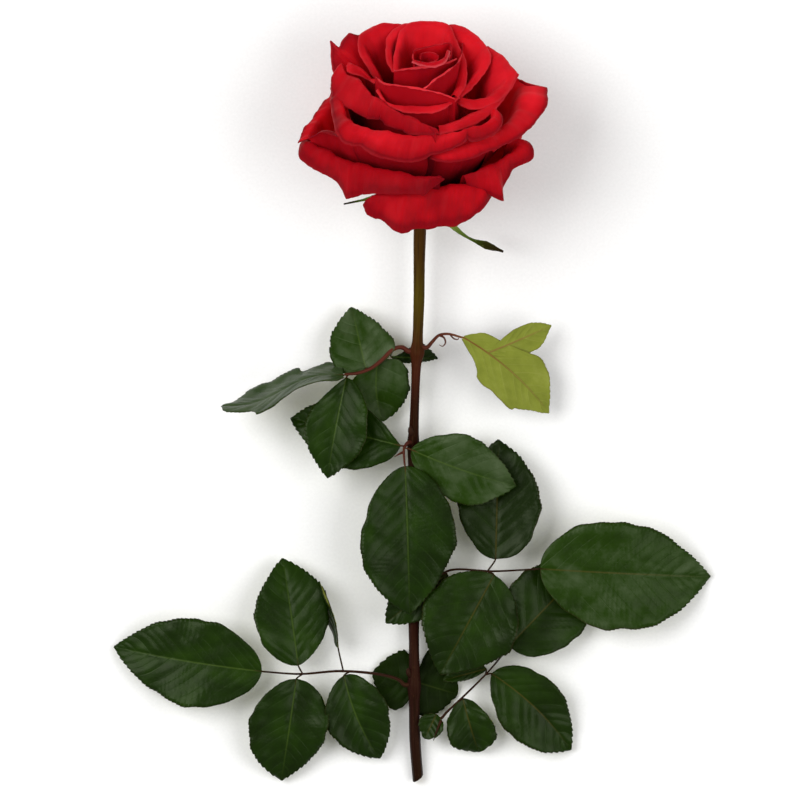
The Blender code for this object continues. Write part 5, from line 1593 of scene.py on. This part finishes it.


# A leaflet's tone paints its light: above 0 a greyish gloss, below 0 shade.
LEAVES = (
    CompoundLeaf(
        "leaf_upper_left",
        ((-1.5, 22.0, 14.6), (-4.2, 23.6, 15.8), (-7.6, 22.9, 17.2), (-13.4, 17.6, 18.6), (-17.6, 14.6, 19.4),
         (-22.7, 12.8, 20.4), (-28.1, 12.2, 21.6)),
        (
            Leaflet((-28.8, 12.2, 21.8), (-80.2, -1.0, 19.0),
                    WavyMargin(((0, 4), (0.13, 8.5), (0.29, 9), (0.46, 10), (0.58, 12.5), (0.69, 13.5),
                                (0.81, 7.5), (0.92, 7), (1, 0))),
                    WavyMargin(((0, 7), (0.09, 13), (0.2, 10.5), (0.29, 10), (0.42, 13.8), (0.55, 14),
                                (0.69, 14.6), (0.82, 10.5), (0.93, 4), (1, 0))),
                    roll=-68.0, arch=0.0, wave=0.1, fold=0.02, sway=2.4, tone=0.36),
            Leaflet((-19.4, 15.0, 16.6), (-25.2, 40.5, 6.0),
                    Margin(13.2, 0.3, 2.2, 0.16), Margin(14.4, 0.25, 1.35, 0.35),
                    roll=6.0, fold=0.02, tone=0.3, heart=1.0),
            Leaflet((-27.6, 10.8, 20.6), (-35.5, -31.3, 18.0),
                    Margin(14, 0.5, 1.9), Margin(12.8, 0.52, 1.7, 0.95), roll=-10.0, fold=0.16, tone=0.08),
            Leaflet((-14.6, 16.0, 14.6), (-12.2, -7.6, 5.5), Margin(14, 0.3, 2.6, 0.22), Margin(12.2),
                    roll=4.0, arch=0.0, bend=0.06, fold=0.03, wave=0.4, tone=0.32, heart=2.5),
            Leaflet((-8.6, 19.6, 12.0), (10.9, 18.9, 3.4), Margin(6.4, 0.6, 1.1, 1.8), Margin(2.4, 0.35, 1.5),
                    roll=-8.0, arch=0.0, wave=0.2, tone=-0.1),
        ),
        maker=BladeMaker(puff=0.28),
        rachis_radii=(1.05, 0.6),
    ),
    CompoundLeaf(
        "leaf_upper_right",
        ((6.3, 23.6, 14.8), (8.4, 25.8, 16.2), (11.3, 28.6, 17.2), (15.1, 29.2, 18.0), (21.0, 27.7, 18.6)),
        (
            Leaflet((21.4, 27.7, 18.6), (57.4, -4.0, 9.0),
                    WavyMargin(((0, 1), (0.05, 3.8), (0.15, 6.9), (0.27, 7.6), (0.4, 8.9), (0.51, 10.6),
                                (0.61, 12.9), (0.72, 11.9), (0.87, 6.2), (1, 0))),
                    WavyMargin(((0, 1), (0.08, 3.4), (0.17, 5.4), (0.26, 8.4), (0.35, 11.8), (0.48, 12.4),
                                (0.63, 12.3), (0.73, 10.2), (0.83, 6.4), (0.95, 2.4), (1, 0))),
                    roll=10.0, arch=0.05, bend=-0.045, fold=0.1, wave=0.3),
            Leaflet((31.2, 21.0, 17.6), (58.4, 32.8, 12.0),
                    Margin(5.2, 0.6, 2, 1.2), Margin(7, 0.6, 2, 0.8),
                    roll=-12.0, arch=0.03, fold=0.06, wave=0.3, ribbed=False),
        ),
        side_up=Side.UNDER,
        maker=BladeMaker(tooth_depth=0.09, tooth_lean=0.3),
        stalk=STALK_PALE,
        stipules=(
            (1.0, (11.6, 28.6, 17.6), (13.4, 27.6, 18.0), (14.0, 25.4, 18.4), (12.8, 24.0, 18.6),
             (11.4, 24.6, 18.6)),
            (0.8, (16.0, 28.9, 18.3), (17.6, 27.2, 18.6), (19.2, 26.9, 18.8), (19.8, 27.9, 18.9)),
        ),
    ),
    CompoundLeaf(
        "leaf_front",
        ((-1.6, -16.6, 15.6), (-2.6, -17.4, 18.0), (-3.4, -19.0, 20.4), (-3.1, -25.6, 23.4)),
        (
            Leaflet((-5.0, -17.6, 19.2), (-51.0, -6.1, 6.0),
                    Margin(15.2, 0.45, 1.8), Margin(13, 0.5, 1.9, 0.9), arch=0.03),
            Leaflet((-2.9, -26.3, 23.6), (-1.0, -88.4, 17.4),
                    Margin(20.2, 0.45, 1.8), Margin(19.8, 0.52, 2.4, 0.55), roll=3.0, arch=0.05, fold=0.1),
            Leaflet((-0.2, -19.4, 20.6), (43.6, -34.6, 18.0),
                    Margin(14.6, 0.46, 1.8, 0.65), Margin(13.6, 0.55),
                    roll=-4.0, arch=0.05, bend=0.02, fold=0.08, tone=0.38),
        ),
        stipules=((1.3, (-3.6, -20.4, 20.0), (-5.4, -21.2, 19.8), (-7.4, -22.4, 19.0)),),
    ),
    CompoundLeaf(
        "leaf_right",
        ((4.5, -86.6, 11.2), (6.1, -79.5, 12.6), (10.5, -73.5, 14.0), (16.0, -70.0, 15.0),
         (34.4, -70.4, 15.6), (53.4, -69.4, 16.4)),
        (
            Leaflet((53.8, -69.4, 16.5), (125.6, -72.9, 1.8),
                    Margin(21.8, 0.4, 2.1, 0.42), Margin(23.9, 0.45, 2.2), roll=-3.0, arch=0.07, fold=0.08,
                    tone=0.22),
            Leaflet((35.1, -65.2, 15.0), (36.4, -15.1, 8.5),
                    Margin(16.6, 0.5), Margin(18.2, 0.45, 2.1, 0.35), arch=0.03, fold=0.1, tone=-0.24),
            Leaflet((34.4, -72.0, 15.2), (11.8, -113.6, 13.4), Margin(20.8), Margin(20.5),
                    roll=2.0, arch=0.05, fold=0.06),
            Leaflet((14.7, -71.6, 14.5), (-11.0, -92.2, 13.3), Margin(9.4), Margin(9.4, 0.46, 2.4),
                    arch=0.01, fold=0.04, wave=0.3),
        ),
        finish=LEAF_TOP_RED,
        stalk=STALK_DARK,
        rachis_radii=(0.75, 0.36),
    ),
    CompoundLeaf(
        "leaf_lower_right",
        ((4.3, -133.5, 6.6), (11.8, -132.6, 7.8), (14.7, -129.6, 8.6), (21.4, -123.3, 9.4),
         (32.3, -112.4, 10.4), (40.7, -102.3, 11.2)),
        (
            Leaflet((40.7, -101.8, 11.2), (77.0, -64.0, 4.6),
                    Margin(17.2, 0.42), Margin(18, 0.42, 1.9, 0.4),
                    roll=-4.0, arch=0.02, fold=0.05, wave=0.5),
            Leaflet((33.6, -113.6, 10.4), (66.8, -145.8, 2.6),
                    Margin(12.6, 0.4, 2.3, 0.4), Margin(15.4, 0.48, 2.3, 0.7),
                    roll=2.0, arch=0.06, bend=-0.05, fold=0.08),
            Leaflet((31.1, -111.5, 9.8), (13.0, -116.4, 6.2), Margin(2.4, 0.5), Margin(5),
                    arch=0.0, wave=0.2),
            Leaflet((21.4, -124.2, 8.8), (28.0, -146.6, 3.6),
                    Margin(10, 0.66, 2.6, 0.6), Margin(10.2, 0.55, 2.4), roll=-6.0, arch=0.1, fold=0.1),
            Leaflet((10.2, -130.6, 7.8), (5.4, -140.8, 9.4), Margin(5.2, 0.4, 3), Margin(5.4, 0.42),
                    arch=0.05, wave=0.2),
        ),
        stipules=((1.3, (12.2, -133.2, 9.6), (10.4, -137.6, 10.4), (9.0, -141.6, 10.2)),),
        finish=LEAF_TOP_RED,
        stalk=STALK_DARK,
        rachis_radii=(0.75, 0.3),
    ),
    CompoundLeaf(
        "leaf_lower_left",
        ((-3.2, -118.2, 8.6), (-5.2, -116.3, 9.4), (-11.3, -114.2, 10.6), (-29.8, -112.4, 11.6),
         (-47.0, -113.6, 12.0), (-62.8, -112.6, 12.0)),
        (
            Leaflet((-63.2, -112.5, 12.0), (-125.4, -102.3, 2.2),
                    Margin(18.5, 0.42, 2), Margin(18.6, 0.45), roll=4.0, arch=0.06, bend=-0.01, fold=0.1),
            Leaflet((-47.8, -109.9, 12.2), (-54.4, -65.0, 7.0),
                    Margin(15.7, 0.42), Margin(16, 0.5, 2.1, 0.6), roll=-4.0, arch=0.06, fold=0.1),
            Leaflet((-48.6, -115.8, 12.0), (-55.0, -158.6, 3.4),
                    Margin(16, 0.42, 1.8, 0.4), Margin(17, 0.48, 2.4), roll=3.0, arch=0.06, fold=0.1),
            Leaflet((-28.6, -114.4, 11.4), (-13.6, -149.3, 4.4),
                    Margin(13.6, 0.45, 2.1), Margin(13, 0.42, 2.2), arch=0.06, bend=0.05, fold=0.1),
            Leaflet((-31.3, -102.7, 12.4), (-39.3, -74.8, 15.0), Margin(8), Margin(8),
                    roll=80.0, arch=-0.05, fold=0.08, wave=0.3),
        ),
        stalk=STALK_DARK,
        rachis_radii=(0.9, 0.35),
    ),
    CompoundLeaf(
        "leaf_behind",
        ((1.0, -118.4, 3.4), (1.2, -117.4, 3.2), (1.4, -116.4, 3.0)),
        (
            Leaflet((1.2, -117.0, 3.3), (19.2, -122.4, 1.6),
                    Margin(21, 0.35, 1.8, 0.3), Margin(13, 0.42, 1.6), arch=0.0, fold=0.02, wave=0.2),
            Leaflet((1.0, -119.0, 3.4), (-16.6, -113.2, 1.6), Margin(12, 0.3, 2, 0.3), Margin(12.8, 0.42),
                    arch=0.0, fold=0.02, wave=0.2),
        ),
        finish=LEAF_SHADE,
    ),
)


# ------------------------------------------------------------------ studio
@dataclass
class Studio:
    """A pale floor, a soft light from either side, bright air all round, and the camera above."""

    middle: tuple[float, float] = (-5.04, 1.47)
    view_width: float = 336.0
    lens: float = 600.0
    sensor: float = 36.0
    focus_height: float = 12.0
    view_depth_m: float = 50.0
    air: float = 0.45
    light_size: float = 1000.0
    lights: tuple[tuple[str, Point, float], ...] = (    # name, place and watts
        ("key_soft", (-900.0, 260.0, 1250.0), 17.0),
        ("fill_soft", (950.0, -100.0, 1200.0), 10.5),
    )
    aim: Point = (0.0, 40.0, 0.0)
    floor_size: float = 9000.0
    floor_gap: float = 0.05     # between the paper and the rose's lowest points

    def build(self) -> None:
        """Make the floor, the lights and the camera."""
        self.make_floor()
        for name, place, power in self.lights:
            self.add_area(name, place, power)
        self.make_air()
        self.make_camera()

    def make_floor(self) -> None:
        """A level sheet of paper, just under the rose."""
        half = 0.5 * self.floor_size
        corners = ((-half, -half), (half, -half), (half, half), (-half, half))
        mesh = bpy.data.meshes.new("studio_floor")
        mesh.from_pydata([Vector((*corner, -self.floor_gap)) * MM for corner in corners], [], [(0, 1, 2, 3)])
        mesh.materials.append(PaperFinish().build())
        floor = bpy.data.objects.new("studio_floor", mesh)
        bpy.context.scene.collection.objects.link(floor)

    def make_air(self) -> None:
        """White air all round, shown without a film look."""
        scene = bpy.context.scene
        scene.world = bpy.data.worlds.new("studio_air")
        scene.world.use_nodes = True
        sky = scene.world.node_tree.nodes["Background"]
        feed(scene.world.node_tree, sky, {"Color": (1.0, 1.0, 1.0, 1.0), "Strength": self.air})
        scene.view_settings.view_transform = "Standard"

    def add_area(self, name: str, place: Point, power: float) -> None:
        """Hang a large square light, aimed at the rose.

        Args:
            name: of the light.
            place: where it hangs.
            power: in watts.
        """
        light = bpy.data.lights.new(name, "AREA")
        light.size = self.light_size * MM
        light.energy = power
        lamp = bpy.data.objects.new(name, light)
        lamp.location = Vector(place) * MM
        away = Vector(self.aim) * MM - lamp.location
        lamp.rotation_euler = away.to_track_quat("-Z", "Y").to_euler()
        bpy.context.scene.collection.objects.link(lamp)

    def make_camera(self) -> None:
        """Straight above, far away, with a long lens."""
        view = bpy.data.cameras.new("studio_camera")
        view.type = "PERSP"
        view.lens = self.lens
        view.sensor_width = self.sensor
        view.clip_end = self.view_depth_m
        camera = bpy.data.objects.new("studio_camera", view)
        away = self.focus_height + self.view_width * self.lens / self.sensor
        camera.location = Vector((*self.middle, away)) * MM
        bpy.context.scene.collection.objects.link(camera)
        bpy.context.scene.camera = camera


# ------------------------------------------------------------------ the whole rose
def main() -> None:
    """Build the rose's pieces and the studio, in order."""
    logging.basicConfig(level=logging.INFO, format="%(name)s %(message)s")
    stem = Stem()
    stem.build()
    Calyx().build()
    Bloom(PETALS).build()
    for leaf in LEAVES:
        leaf.build(stem.centre()[:, :3])
    Studio().build()


if __name__ == "__main__":
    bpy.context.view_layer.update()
    main()
